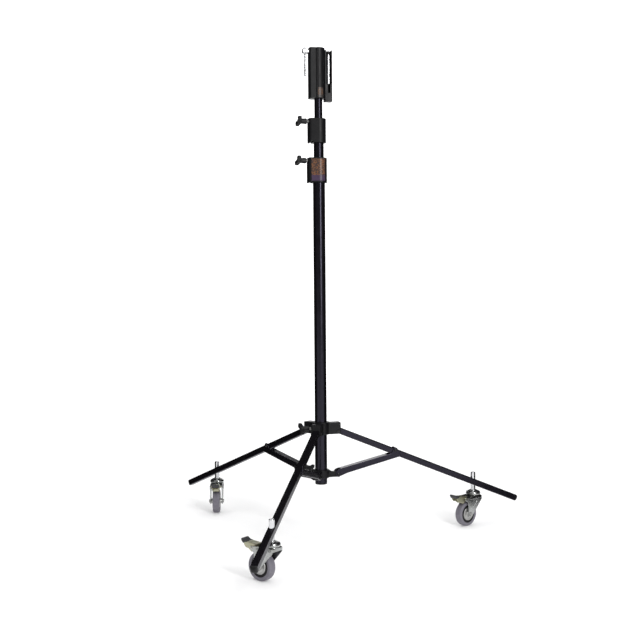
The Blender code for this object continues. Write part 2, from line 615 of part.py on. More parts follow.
# ---------------------------------------------------------------- stand


def build_stand():
    for obj in list(bpy.data.objects):
        bpy.data.objects.remove(obj, do_unlink=True)
    mats = {
        "paint": material("black_paint", (0.022, 0.022, 0.028), 0.38, 0.0),
        "casting": material("black_casting", (0.030, 0.030, 0.034), 0.50, 0.0),
        "plastic": material("black_plastic", (0.020, 0.020, 0.022), 0.45, 0.0),
        "nylon": material("grey_nylon", (0.200, 0.200, 0.200), 0.55, 0.0),
        "steel": material("zinc_steel", (0.600, 0.600, 0.580), 0.35, 1.0),
        "chrome": material("chrome_steel", (0.800, 0.800, 0.800), 0.15, 1.0),
        "zinc": material("zinc_sheet", (0.620, 0.620, 0.600), 0.32, 1.0),
        "rubber": material("grey_rubber", (0.180, 0.165, 0.190), 0.60, 0.0),
        "brake": material("dark_brake_lever", (0.080, 0.080, 0.085), 0.50, 0.0),
    }
    stand = empty("stand_axis", location=Vector((0, STAND_Y, 0)))
    build_column(mats, stand)
    build_risers(mats, stand)
    build_head(mats, stand)
    build_base(mats, stand)
    for index, (azimuth, heading) in enumerate(zip(LEG_AZIMUTHS, CASTER_HEADINGS), 1):
        build_caster(index, mats, stand, azimuth, heading)


build_stand()
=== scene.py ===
"""Looks of the wheeled combo lighting stand: turned tubes, cast locks, pressed caster forks,
procedural paint, chrome, zinc, rubber and nylon, a pale studio floor, and the camera."""

import json
import math

import bmesh
import bpy
from mathutils import Matrix, Vector


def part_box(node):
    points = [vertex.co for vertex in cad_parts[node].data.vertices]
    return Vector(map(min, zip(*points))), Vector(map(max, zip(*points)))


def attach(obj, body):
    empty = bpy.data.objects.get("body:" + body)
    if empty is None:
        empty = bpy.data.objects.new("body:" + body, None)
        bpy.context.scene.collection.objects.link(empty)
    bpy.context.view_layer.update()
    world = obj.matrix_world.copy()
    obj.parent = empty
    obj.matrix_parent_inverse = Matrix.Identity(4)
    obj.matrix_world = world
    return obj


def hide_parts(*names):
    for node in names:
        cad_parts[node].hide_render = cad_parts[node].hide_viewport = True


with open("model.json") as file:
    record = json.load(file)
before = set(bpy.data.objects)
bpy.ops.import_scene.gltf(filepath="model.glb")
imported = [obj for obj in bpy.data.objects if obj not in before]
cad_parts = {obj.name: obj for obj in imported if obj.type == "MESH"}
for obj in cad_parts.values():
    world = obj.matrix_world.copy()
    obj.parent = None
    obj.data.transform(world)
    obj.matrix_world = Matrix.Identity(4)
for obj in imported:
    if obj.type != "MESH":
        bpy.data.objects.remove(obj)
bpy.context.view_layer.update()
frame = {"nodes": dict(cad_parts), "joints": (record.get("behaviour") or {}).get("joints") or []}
joints = {joint["name"]: joint for joint in frame["joints"]}

# Dimensions that the frame doesn't state, in metres
TUBE_WALL = 0.0016
LOCK_AZIMUTH = math.radians(210)
SCREW_RADIUS = 0.0047
PIN_RADIUS = 0.003
LEG_SLOPE = math.radians(22.56)
LEG_SIZE = 0.02
LEG_WALL = 0.0015
CHANNEL_INSIDE = 0.0212
CHANNEL_WALL = 0.002
STEM_RADIUS = 0.008
WHEEL_RADIUS = 0.04
SOCKET_RADIUS = 0.0145
SPIGOT_RADIUS = 0.00795
FORK_INSIDE = 0.019  # half the gap between a fork's cheeks
FORK_PLATE = 0.003
HUB_TOP = 0.0212  # above the hub's pivots
HUB_ROOF = 0.0079
GAP = 0.0003  # clearance between a hole and what it holds
KNOB_TURN = math.radians(22)
HUB_KNOB_TURN = math.radians(150)
CLAMP_KNOB_TURN = math.radians(8)
ROUND = 96  # sides of a large round piece
SMALL_ROUND = 40
SHARP_ANGLE = math.radians(38)  # edges that bend further than this stay crisp


# ---------------------------------------------------------------- places


def spot(joint):
    return Vector(joints[joint]["pos_m"])


def direction(joint):
    return Vector(joints[joint]["axis"]).normalized()


COLUMN = Vector((spot("riser_1_turn").x, spot("riser_1_turn").y, 0))


def about(origin, azimuth, tilt=0.0, spin=0.0):
    """A place whose +X points along the azimuth, tipped down by tilt and rolled by spin."""
    turn = Matrix.Rotation(azimuth, 4, "Z") @ Matrix.Rotation(tilt, 4, "Y")
    return Matrix.Translation(origin) @ turn @ Matrix.Rotation(spin, 4, "X")


def around_column(angle, radius, z):
    return COLUMN.x + radius * math.cos(angle), COLUMN.y + radius * math.sin(angle), z


def leg_azimuth(index):
    axis = direction(f"leg_{index}_fold")
    return math.atan2(axis.x, -axis.y)


# ---------------------------------------------------------------- outlines


def arc(centre, radius, start_deg, end_deg, steps):
    points = []
    for i in range(steps + 1):
        a = math.radians(start_deg + (end_deg - start_deg) * i / steps)
        points.append((centre[0] + radius * math.cos(a), centre[1] + radius * math.sin(a)))
    return points


def rectangle(left, bottom, right, top):
    return [(left, bottom), (right, bottom), (right, top), (left, top)]


def softened(points, radius, closed=True, steps=3):
    """The outline with each corner rounded off."""
    result = []
    count = len(points)
    for i, point in enumerate(points):
        if not closed and i in (0, count - 1):
            result.append(Vector(point))
            continue
        corner = Vector(point)
        before, after = Vector(points[i - 1]) - corner, Vector(points[(i + 1) % count]) - corner
        a = corner + before.normalized() * min(radius, before.length * 0.45)
        b = corner + after.normalized() * min(radius, after.length * 0.45)
        for s in range(steps + 1):
            t = s / steps
            result.append(a * (1 - t) ** 2 + corner * 2 * t * (1 - t) + b * t * t)
    return result


def inset(points, distance):
    """The closed outline, which runs anticlockwise, moved inwards."""
    result = []
    count = len(points)
    for i, point in enumerate(points):
        before, after = Vector(point) - Vector(points[i - 1]), Vector(points[(i + 1) % count]) - Vector(point)
        n0, n1 = Vector((-before.y, before.x)), Vector((-after.y, after.x))
        n0 = n0.normalized() if n0.length > 1e-9 else n1.normalized()
        n1 = n1.normalized() if n1.length > 1e-9 else n0
        normal = (n0 + n1) / max(1.0 + n0.dot(n1), 0.35)
        result.append(Vector(point) + normal * distance)
    return result


def anticlockwise(points):
    area = sum(
        Vector(points[i - 1]).x * Vector(points[i]).y - Vector(points[i]).x * Vector(points[i - 1]).y
        for i in range(len(points))
    )
    return list(points) if area > 0 else list(reversed(points))


def rounded_square(side, radius, steps=6):
    h = side / 2 - radius
    points = arc((h, h), radius, 0, 90, steps) + arc((-h, h), radius, 90, 180, steps)
    return points + arc((-h, -h), radius, 180, 270, steps) + arc((h, -h), radius, 270, 360, steps)


# ---------------------------------------------------------------- shapes


def bridge(bm, a, b):
    count = max(len(a), len(b))
    for i in range(count):
        j = (i + 1) % count
        corners = [a[i % len(a)], a[j % len(a)], b[j % len(b)], b[i % len(b)]]
        bm.faces.new(list(dict.fromkeys(corners)))


def lathe(profile, segments=ROUND, closed=False):
    """The (radius, height) profile turned about Z."""
    bm = bmesh.new()
    rings = []
    for radius, height in profile:
        if radius < 1e-7:
            rings.append([bm.verts.new((0, 0, height))])
            continue
        angles = [2 * math.pi * i / segments for i in range(segments)]
        rings.append([bm.verts.new((radius * math.cos(a), radius * math.sin(a), height)) for a in angles])
    pairs = list(zip(rings, rings[1:])) + ([(rings[-1], rings[0])] if closed else [])
    for a, b in pairs:
        bridge(bm, a, b)
    bmesh.ops.recalc_face_normals(bm, faces=bm.faces)
    return bm


def skinned(bm, rings):
    """Faces between each ring and the next, and one over each end."""
    for a, b in zip(rings, rings[1:]):
        bridge(bm, a, b)
    bm.faces.new(rings[0])
    bm.faces.new(rings[-1])
    bmesh.ops.recalc_face_normals(bm, faces=bm.faces)
    return bm


def slab(outline, low, high, edge=0.0008, steps=3):
    """The XY outline extruded along Z, with its rims rounded off."""
    outline = anticlockwise(outline)
    bm = bmesh.new()
    levels = []
    for s in range(steps + 1):
        a = math.radians(90) * s / steps
        levels.append((edge * (1 - math.sin(a)), low + edge * (1 - math.cos(a))))
    levels += [(inward, low + high - height) for inward, height in reversed(levels)]
    rings = [[bm.verts.new((p.x, p.y, z)) for p in inset(outline, inward)] for inward, z in levels]
    return skinned(bm, rings)


def domed_square(side, radius, low, high, dome):
    """A soft-cornered square block whose upper end is rounded over on all sides."""
    levels = [(0.0004, low), (0.0, low + 0.0004)]
    for step in range(9):
        a = math.radians(86) * step / 8
        levels.append((dome * (1 - math.cos(a)), high - dome + dome * math.sin(a)))
    bm = bmesh.new()
    rings = []
    for inward, z in levels:
        width = side - 2 * inward
        corner = min(radius + inward * 0.3, width * 0.45)
        rings.append([bm.verts.new((x, y, z)) for x, y in rounded_square(width, corner)])
    return skinned(bm, rings)


def along_x(bm):
    bm.transform(Matrix.Rotation(math.radians(90), 4, "Y"))
    return bm


def upright(bm):
    """Turns the shape's Z axis onto -Y, so that an outline drawn in XY stands up in XZ."""
    bm.transform(Matrix.Rotation(math.radians(90), 4, "X"))
    return bm


def shifted(bm, x=0.0, y=0.0, z=0.0):
    bm.transform(Matrix.Translation((x, y, z)))
    return bm


def across(bm, x=0.0, z=0.0):
    """A shape made along Z, laid along Y at this place."""
    return shifted(upright(bm), x=x, z=z)


def merged(*shapes):
    """One bmesh that holds every shape."""
    whole = shapes[0]
    for shape in shapes[1:]:
        mesh = bpy.data.meshes.new("part")
        shape.to_mesh(mesh)
        shape.free()
        whole.from_mesh(mesh)
        bpy.data.meshes.remove(mesh)
    return whole


def turned(profile, edge, segments=ROUND):
    """A solid of revolution whose profile runs from axis to axis, with its corners rounded off."""
    return lathe(softened(profile, edge, closed=False), segments)


def turned_ring(profile, edge, segments=ROUND, steps=3):
    """A ring of revolution whose closed profile has its corners rounded off."""
    return lathe(softened(profile, edge, steps=steps), segments, closed=True)


def soft_rod(radius, low, high, edge=0.0006, segments=SMALL_ROUND):
    return turned(rectangle(0, low, radius, high), edge, segments)


def plain_rod(radius, low, high, segments=24):
    return lathe(rectangle(0, low, radius, high), segments)


def washer_ring(inner, outer, low, high, edge, segments=SMALL_ROUND):
    return turned_ring(rectangle(inner, low, outer, high), edge, segments)


def hexagon(radius, low, high):
    """A hexagon nut or bolt head with its corners turned off."""
    outline = arc((0, 0), radius, 0, 300, 5)
    return slab(softened(outline, radius * 0.1), low, high, (high - low) * 0.16)


# ---------------------------------------------------------------- pieces


def linked(name, data):
    obj = bpy.data.objects.new(name, data)
    bpy.context.scene.collection.objects.link(obj)
    return obj


def mesh_object(name, bm, mat):
    mesh = bpy.data.meshes.new(name)
    bm.to_mesh(mesh)
    bm.free()
    mesh.materials.append(mat)
    return linked(name, mesh)


def piece(name, bm, mat, body, place=None, stands_for=()):
    """A mesh that rides on a body, in place of the CAD nodes that it stands for."""
    obj = mesh_object(name, bm, mat)
    obj.data.shade_smooth()
    obj.data.set_sharp_from_angle(angle=SHARP_ANGLE)
    if place is not None:
        obj.data.transform(place)
    normals = obj.modifiers.new("even_normals", "WEIGHTED_NORMAL")
    normals.keep_sharp = True
    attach(obj, body)
    if stands_for:
        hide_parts(*stands_for)
    return obj


def carved(bm, *cutters, join=()):
    """The shape with every join added and every cutter taken away."""
    made = []
    for shape in (bm, *join, *cutters):
        mesh = bpy.data.meshes.new("carving")
        shape.to_mesh(mesh)
        shape.free()
        made.append(linked("carving", mesh))
    body = made[0]
    for index, tool in enumerate(made[1:]):
        modifier = body.modifiers.new("carve", "BOOLEAN")
        modifier.solver = "EXACT"
        modifier.operation = "UNION" if index < len(join) else "DIFFERENCE"
        modifier.object = tool
    bpy.context.view_layer.update()
    graph = bpy.context.evaluated_depsgraph_get()
    mesh = bpy.data.meshes.new_from_object(body.evaluated_get(graph))
    result = bmesh.new()
    result.from_mesh(mesh)
    bpy.data.meshes.remove(mesh)
    for obj in made:
        bpy.data.objects.remove(obj, do_unlink=True)
    return result


def pin_hole(half, x=0.0, z=0.0, flare=0.0003):
    """A cutter for a pivot pin's hole along Y."""
    return across(drilled(PIN_RADIUS + GAP, -half, half, flare, 24), x, z)


def drilled(radius, low, high, flare=0.0006, segments=ROUND):
    """A cutter for a round hole whose two mouths are broken by a small chamfer."""
    profile = [(0, low - 0.004), (radius + flare, low - 0.004), (radius + flare, low), (radius, low + flare)]
    profile += [(radius, high - flare), (radius + flare, high), (radius + flare, high + 0.004)]
    return lathe(profile + [(0, high + 0.004)], segments)


# ---------------------------------------------------------------- material helpers


def fill(node, values):
    for key, value in values.items():
        node.inputs[key.replace("_", " ")].default_value = value
    return node


class Paint:
    """A small helper that adds nodes to one material."""

    def __init__(self, name):
        self.mat = bpy.data.materials.new(name)
        self.mat.use_nodes = True
        self.nodes = self.mat.node_tree.nodes
        self.links = self.mat.node_tree.links
        self.shader = self.nodes["Principled BSDF"]
        self.where = self.nodes.new("ShaderNodeTexCoord").outputs["Object"]

    def set(self, **values):
        fill(self.shader, values)
        return self

    def node(self, kind, **values):
        return fill(self.nodes.new(f"ShaderNode{kind}"), values)

    def noise(self, scale, detail=4.0, roughness=0.55, stretch=None):
        where = self.where
        if stretch:
            mapping = self.node("Mapping", Scale=stretch)
            self.links.new(where, mapping.inputs["Vector"])
            where = mapping.outputs["Vector"]
        node = self.node("TexNoise", Scale=scale, Detail=detail, Roughness=roughness)
        self.links.new(where, node.inputs["Vector"])
        return node.outputs["Fac"]

    def ramp(self, value, low, high, from_min=0.3, from_max=0.7):
        """The value, from one span to another, clamped."""
        node = self.node("MapRange", From_Min=from_min, From_Max=from_max, To_Min=low, To_Max=high)
        self.links.new(value, node.inputs["Value"])
        return node.outputs["Result"]

    def mix(self, factor, first, second):
        node = self.node("Mix")
        node.data_type = "RGBA"
        for index, colour in ((6, first), (7, second)):
            if isinstance(colour, tuple):
                node.inputs[index].default_value = (*colour, 1.0)
            else:
                self.links.new(colour, node.inputs[index])
        self.links.new(factor, node.inputs[0])
        return node.outputs[2]

    def to(self, value, socket):
        self.links.new(value, self.shader.inputs[socket])
        return self

    def bump(self, height, distance, strength=1.0, edge=None):
        node = self.node("Bump", Distance=distance, Strength=strength)
        self.links.new(height, node.inputs["Height"])
        if edge:
            self.links.new(self.edge_normal(edge), node.inputs["Normal"])
        self.links.new(node.outputs["Normal"], self.shader.inputs["Normal"])
        return self

    def edge_normal(self, radius):
        node = self.node("Bevel", Radius=radius)
        node.samples = 4
        return node.outputs["Normal"]

    def edges(self, radius, low=0.02, high=0.25):
        """1 on an outer edge and 0 away from it."""
        geometry = self.node("NewGeometry")
        dot = self.node("VectorMath")
        dot.operation = "DOT_PRODUCT"
        self.links.new(self.edge_normal(radius), dot.inputs[0])
        self.links.new(geometry.outputs["Normal"], dot.inputs[1])
        flip = self.node("Math")
        flip.operation = "SUBTRACT"
        flip.inputs[0].default_value = 1.0
        self.links.new(dot.outputs["Value"], flip.inputs[1])
        return self.ramp(flip.outputs[0], 0.0, 1.0, low, high)

    def times(self, a, b):
        node = self.node("Math")
        node.operation = "MULTIPLY"
        self.links.new(a, node.inputs[0])
        if isinstance(b, float):
            node.inputs[1].default_value = b
        else:
            self.links.new(b, node.inputs[1])
        return node.outputs[0]


# ---------------------------------------------------------------- materials


def satin_paint():
    """Blue-black satin enamel with orange peel, faint dust and rubbed edges."""
    p = Paint("satin_black_paint").set(Specular_IOR_Level=0.34, Specular_Tint=(0.78, 0.74, 1.0, 1.0))
    tone = p.mix(p.noise(9.0, 5.0), (0.002, 0.0017, 0.0024), (0.0046, 0.004, 0.0048))
    rubbed = p.times(p.edges(0.0007), p.ramp(p.noise(160.0), 0.0, 0.45))
    p.to(p.mix(rubbed, tone, (0.02, 0.02, 0.022)), "Base Color")
    p.to(p.ramp(p.noise(30.0, 6.0), 0.17, 0.27), "Roughness")
    return p.bump(p.noise(650.0, 3.0), 0.00004, 0.6, edge=0.0005).mat


def casting_paint():
    """Thicker powder coat over a die casting, with a fine pebble."""
    p = Paint("powder_coated_casting").set(Metallic=0.0, Specular_IOR_Level=0.22)
    tone = p.mix(p.noise(14.0, 5.0), (0.0026, 0.0026, 0.0032), (0.005, 0.0049, 0.0056))
    rubbed = p.times(p.edges(0.0008), p.ramp(p.noise(220.0), 0.0, 0.5))
    p.to(p.mix(rubbed, tone, (0.06, 0.06, 0.06)), "Base Color")
    p.to(p.ramp(p.noise(45.0, 6.0), 0.36, 0.5), "Roughness")
    return p.bump(p.noise(1100.0, 5.0, 0.7), 0.00008, 0.75, edge=0.0007).mat


def moulded_plastic(name="moulded_black_plastic", dark=(0.0035, 0.0035, 0.004), pale=(0.007, 0.007, 0.0078)):
    p = Paint(name).set(Metallic=0.0, Specular_IOR_Level=0.25)
    p.to(p.mix(p.noise(60.0, 4.0), dark, pale), "Base Color")
    p.to(p.ramp(p.noise(90.0, 5.0), 0.34, 0.5), "Roughness")
    return p.bump(p.noise(1800.0, 4.0, 0.65), 0.00005, 0.6, edge=0.0004).mat


def bright_chrome():
    p = Paint("chrome_plate").set(Metallic=1.0)
    p.to(p.mix(p.noise(22.0, 4.0), (0.56, 0.57, 0.59), (0.68, 0.68, 0.69)), "Base Color")
    p.to(p.ramp(p.noise(120.0, 6.0, stretch=(1.0, 1.0, 0.05)), 0.09, 0.2), "Roughness")
    return p.bump(p.noise(900.0, 3.0, stretch=(1.0, 1.0, 0.08)), 0.00001, 0.35, edge=0.0004).mat


def zinc_plate():
    """Bright zinc on pressed steel: cloudy, with fine rolling marks."""
    p = Paint("bright_zinc_sheet").set(Metallic=1.0)
    cloud = p.mix(p.ramp(p.noise(38.0, 5.0), 0.0, 1.0), (0.3, 0.31, 0.3), (0.48, 0.49, 0.49))
    stain = p.ramp(p.noise(24.0, 6.0, 0.7), 0.0, 0.35, 0.52, 0.75)
    p.to(p.mix(stain, cloud, (0.33, 0.31, 0.26)), "Base Color")
    p.to(p.ramp(p.noise(75.0, 6.0), 0.15, 0.3), "Roughness")
    return p.bump(p.noise(700.0, 4.0, stretch=(0.2, 1.0, 1.0)), 0.00003, 0.5, edge=0.0005).mat


def yellow_zinc():
    """Yellow chromate over zinc, with a drift towards green and pink."""
    p = Paint("yellow_chromate_zinc").set(Metallic=0.85)
    drift = p.mix(p.ramp(p.noise(42.0, 3.0), 0.0, 1.0), (0.4, 0.39, 0.26), (0.45, 0.39, 0.3))
    p.to(p.mix(p.ramp(p.noise(95.0, 4.0), 0.0, 0.6), drift, (0.36, 0.41, 0.29)), "Base Color")
    p.to(p.ramp(p.noise(80.0, 5.0), 0.26, 0.42), "Roughness")
    return p.bump(p.noise(800.0, 4.0), 0.00003, 0.5, edge=0.0005).mat


def steel(name="zinc_plated_steel", dark=(0.34, 0.34, 0.33), pale=(0.5, 0.5, 0.49)):
    p = Paint(name).set(Metallic=1.0)
    p.to(p.mix(p.noise(150.0, 4.0), dark, pale), "Base Color")
    p.to(p.ramp(p.noise(260.0, 5.0), 0.24, 0.42), "Roughness")
    return p.bump(p.noise(1500.0, 4.0), 0.00003, 0.5, edge=0.0003).mat


def tread_rubber():
    """Lilac-grey thermoplastic rubber with scuffs and a little floor dust."""
    p = Paint("lilac_grey_rubber").set(Metallic=0.0, Specular_IOR_Level=0.35)
    tone = p.mix(p.noise(28.0, 4.0), (0.15, 0.142, 0.172), (0.19, 0.182, 0.212))
    dust = p.ramp(p.noise(120.0, 7.0, 0.72), 0.0, 0.4, 0.5, 0.72)
    p.to(p.mix(dust, tone, (0.27, 0.26, 0.26)), "Base Color")
    p.to(p.ramp(p.noise(70.0, 5.0), 0.48, 0.66), "Roughness")
    return p.bump(p.noise(1300.0, 5.0, 0.7), 0.00006, 0.7, edge=0.0004).mat


def wheel_disc():
    """Silver-grey lacquer on the wheel's centre."""
    p = Paint("silver_wheel_disc").set(Metallic=0.75)
    p.to(p.mix(p.noise(60.0, 4.0), (0.4, 0.4, 0.39), (0.52, 0.52, 0.51)), "Base Color")
    p.to(p.ramp(p.noise(110.0, 5.0), 0.28, 0.42), "Roughness")
    return p.bump(p.noise(1600.0, 3.0), 0.00002, 0.5, edge=0.0004).mat


def nylon():
    p = Paint("grey_nylon").set(Metallic=0.0, Subsurface_Weight=0.05)
    p.to(p.mix(p.noise(80.0, 4.0), (0.16, 0.16, 0.16), (0.22, 0.22, 0.22)), "Base Color")
    p.to(p.ramp(p.noise(120.0, 4.0), 0.45, 0.6), "Roughness")
    return p.bump(p.noise(1400.0, 3.0), 0.00003, 0.5).mat


def sticker(name, ground, block, foot, low, high):
    """A printed film: a warm ground, soft abstract blocks and a strip along its foot."""
    p = Paint(name).set(Specular_IOR_Level=0.3, Coat_Weight=0.15, Coat_Roughness=0.2)
    split = p.node("SeparateXYZ")
    p.links.new(p.where, split.inputs["Vector"])
    blocks = p.ramp(p.noise(210.0, 1.0, 0.3, stretch=(1.0, 1.0, 1.6)), 0.0, 1.0, 0.5, 0.56)
    body = p.mix(blocks, ground, block)
    strip = p.ramp(split.outputs["Z"], 1.0, 0.0, low + 0.24 * (high - low), low + 0.27 * (high - low))
    p.to(p.mix(strip, body, foot), "Base Color")
    p.to(p.ramp(p.noise(200.0, 4.0), 0.32, 0.46), "Roughness")
    return p.bump(p.noise(500.0, 3.0), 0.00002, 0.4).mat


paint = satin_paint()
casting = casting_paint()
plastic = moulded_plastic()
lever_plastic = moulded_plastic("dark_grey_lever_plastic", (0.03, 0.03, 0.033), (0.05, 0.05, 0.053))
chrome = bright_chrome()
zinc = zinc_plate()
yellow = yellow_zinc()
bolt_steel = steel()
dark_steel = steel("blackened_steel", (0.02, 0.02, 0.02), (0.05, 0.05, 0.05))
rubber = tread_rubber()
disc = wheel_disc()
grey_nylon = nylon()


def repaint(mat, *nodes):
    for name in nodes:
        node = frame["nodes"][name]
        node.data.materials.clear()
        node.data.materials.append(mat)


# ---------------------------------------------------------------- tubes


def round_tube(name, node, body, lip=0.0005):
    low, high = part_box(node)
    outer = (high.x - low.x) / 2
    inner = outer - TUBE_WALL
    bm = turned_ring(rectangle(inner, low.z, outer, high.z), lip)
    piece(name, bm, paint, body, Matrix.Translation(COLUMN), [node])
    return outer


column_radius = round_tube("column", "column_tube", "column")
riser_1_radius = round_tube("first_riser", "riser_1_tube", "riser_1")
riser_2_radius = round_tube("second_riser", "riser_2_tube", "riser_2")


def column_foot_plug():
    low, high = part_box("column_end_plug")
    r, foot = column_radius, low.z
    profile = [(0, foot + 0.0016), (r * 0.42, foot + 0.0016), (r * 0.48, foot), (r - 0.0005, foot)]
    profile += [(r, foot + 0.0046), (r - 0.002, foot + 0.0047), (r - 0.002, high.z), (0, high.z)]
    bm = turned(profile, 0.0012)
    piece("column_foot_plug", bm, plastic, "column", Matrix.Translation(COLUMN), ["column_end_plug"])


column_foot_plug()
repaint(grey_nylon, "riser_1_guide_bush", "riser_2_guide_bush", "column_lock_pad", "riser_lock_pad")


# ---------------------------------------------------------------- locks


def collar_outline(barrel, reach):
    outline = arc((0, 0), barrel, -100, 100, 56)
    boss = [(-reach + 0.003, 0.0165), (-reach, 0.0135), (-reach, -0.0135), (-reach + 0.003, -0.0165)]
    boss = softened([outline[-1], *boss, outline[0]], 0.0035, closed=False)
    return outline + [tuple(p) for p in boss[1:-1]]


def lock_collar(name, node, body, tube_below, tube_above, barrel, reach, screw_z, step_z):
    """A cast collar with broken edges, a black bush round the upper tube and a notch in its boss."""
    low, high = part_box(node)
    body_shape = slab(collar_outline(barrel, reach), low.z, high.z, 0.0013)
    notch = (barrel + reach) / 2 - 0.004
    notch_outline = rectangle(-notch - 0.003, -0.03, -notch + 0.003, 0.03)
    screw_hole = shifted(along_x(drilled(SCREW_RADIUS + GAP, -reach, 0.0, 0.0008, SMALL_ROUND)), z=screw_z)
    bm = carved(
        body_shape,
        drilled(tube_below + GAP, low.z, step_z),
        drilled(tube_above + 0.002, step_z - 0.001, high.z, 0.0008),
        screw_hole,
        slab(notch_outline, low.z - 0.01, low.z + 0.004, 0.0005),
    )
    place = about(COLUMN, LOCK_AZIMUTH + math.pi)
    piece(name, bm, casting, body, place, [node])
    bush = washer_ring(tube_above + GAP, tube_above + 0.0019, step_z + 0.001, high.z + 0.0007, 0.0004, ROUND)
    piece(f"{name}_bush", bush, plastic, body, place)


def threaded(radius, start, end, pitch=0.00125):
    """Turned ridges that read as a thread."""
    profile = [(0, start)]
    turns = int((end - start) / pitch)
    for i in range(turns):
        z = start + i * pitch
        profile += [(radius - 0.0006, z), (radius, z + pitch * 0.45), (radius, z + pitch * 0.6)]
    return profile + [(radius - 0.0006, end), (0, end)]


def t_knob(name, node, body, place, scale=1.0):
    """A moulded T-knob: a tapered hub and a crossbar with hollowed faces at its outer end."""
    hub = [(0, 0.0), (0.0085, 0.0), (0.009, 0.0018), (0.008, 0.017), (0.007, 0.0285), (0, 0.029)]
    shapes = [along_x(turned(hub, 0.0014, SMALL_ROUND))]
    for side in (1, -1):
        outline = [(0.012, 0.003), (0.0165, 0.008), (0.0186, 0.0165), (0.0204, 0.0233)]
        outline += [(0.0308, 0.0233), (0.0318, 0.015), (0.0285, 0.003)]
        outline = [(x, side * y) for x, y in outline]
        shapes.append(slab(softened(outline, 0.003, steps=5), -0.0055, 0.0055, 0.0014, 5))
        hollow = [(0.0195, 0.0092), (0.0268, 0.0092), (0.0285, 0.015), (0.0278, 0.0195), (0.0222, 0.0195)]
        hollow = [(x, side * y) for x, y in hollow]
        for face in (-0.0062, 0.0048):
            shapes.append(slab(softened(hollow, 0.0012), face, face + 0.0014, 0.0002))
    bm = carved(shapes[0], *shapes[2:4], *shapes[5:7], join=(shapes[1], shapes[4]))
    bm = carved(bm, along_x(drilled(SCREW_RADIUS + 0.0002, 0.0, 0.0088, 0.0004, SMALL_ROUND)))
    place = place @ Matrix.Scale(scale, 4)
    piece(name, bm, plastic, body, place, [node])


def lock_screw(name, node, body, place, start, end, nut_at=None):
    bm = along_x(lathe(threaded(SCREW_RADIUS, start, end), SMALL_ROUND))
    if nut_at:
        bm = merged(bm, along_x(hexagon(0.0078, nut_at, nut_at + 0.0028)))
    piece(name, bm, bolt_steel, body, place, [node])


def column_locks():
    sets = (
        ("column", "column", "column_knob", column_radius, riser_1_radius, 0.0255, 0.0365),
        ("riser", "riser_1", "riser_knob", riser_1_radius, riser_2_radius, 0.0232, 0.0335),
    )
    for prefix, body, knob_body, below, above, barrel, reach in sets:
        joint = spot(f"{prefix}_knob_turn")
        tube_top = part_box("column_tube" if prefix == "column" else "riser_1_tube")[1].z
        names = f"{prefix}_lock_collar", f"{prefix}_collar"
        lock_collar(*names, body, below, above, barrel, reach, joint.z, tube_top)
        place = about(joint, LOCK_AZIMUTH, spin=KNOB_TURN)
        seat = reach + 0.0055
        lock_screw(f"{prefix}_screw", f"{prefix}_lock_screw", knob_body, place, above + 0.0036, seat + 0.0085)
        knob_place = place @ Matrix.Translation((seat, 0, 0))
        t_knob(f"{prefix}_knob", f"{prefix}_lock_knob", knob_body, knob_place)


column_locks()


def wrapped_label(name, mat, body, outline, place, start, width, low, high, lift=0.00018):
    """A thin film that follows the outline from start, measured along it, for its width."""
    points = [Vector(p) for p in outline]
    lengths = [0.0]
    for a, b in zip(points, points[1:]):
        lengths.append(lengths[-1] + (b - a).length)

    def at(distance):
        for i in range(1, len(points)):
            if lengths[i] >= distance:
                share = (distance - lengths[i - 1]) / max(lengths[i] - lengths[i - 1], 1e-9)
                along = (points[i] - points[i - 1]).normalized()
                return points[i - 1].lerp(points[i], share), Vector((along.y, -along.x))
        return points[-1], Vector((1, 0))

    bm = bmesh.new()
    columns = 24
    rows = []
    for i in range(columns + 1):
        point, outward = at(start + width * i / columns)
        inner, outer = point + outward * 0.00002, point + outward * lift
        corners = [(outer, low), (outer, high), (inner, high), (inner, low)]
        rows.append([bm.verts.new((p.x, p.y, z)) for p, z in corners])
    for a, b in zip(rows, rows[1:]):
        for k in range(4):
            bm.faces.new((a[k], b[k], b[(k + 1) % 4], a[(k + 1) % 4]))
    bm.faces.new(rows[0])
    bm.faces.new(rows[-1])
    bmesh.ops.recalc_face_normals(bm, faces=bm.faces)
    piece(name, bm, mat, body, place)


def column_label():
    low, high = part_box("column_collar")
    foot, top = low.z + 0.005, high.z - 0.004
    ground, block, strip = (0.042, 0.026, 0.022), (0.15, 0.062, 0.026), (0.045, 0.026, 0.055)
    film = sticker("warm_label", ground, block, strip, foot, top)
    outline = collar_outline(0.0255, 0.0365)
    outline = outline[-1:] + outline[:-1]
    place = about(COLUMN, LOCK_AZIMUTH + math.pi)
    wrapped_label("collar_label", film, "column", outline, place, 0.002, 0.0445, foot, top)


# ---------------------------------------------------------------- head


def head_outline(barrel, reach):
    outline = arc((0, 0), barrel, -112, 112, 60)
    boss = [(-0.0105, 0.017), (-reach + 0.002, 0.015), (-reach, 0.013)]
    boss += [(x, -y) for x, y in reversed(boss)]
    boss = softened([outline[-1], *boss, outline[0]], 0.0016, closed=False)
    return outline + [tuple(p) for p in boss[1:-1]]


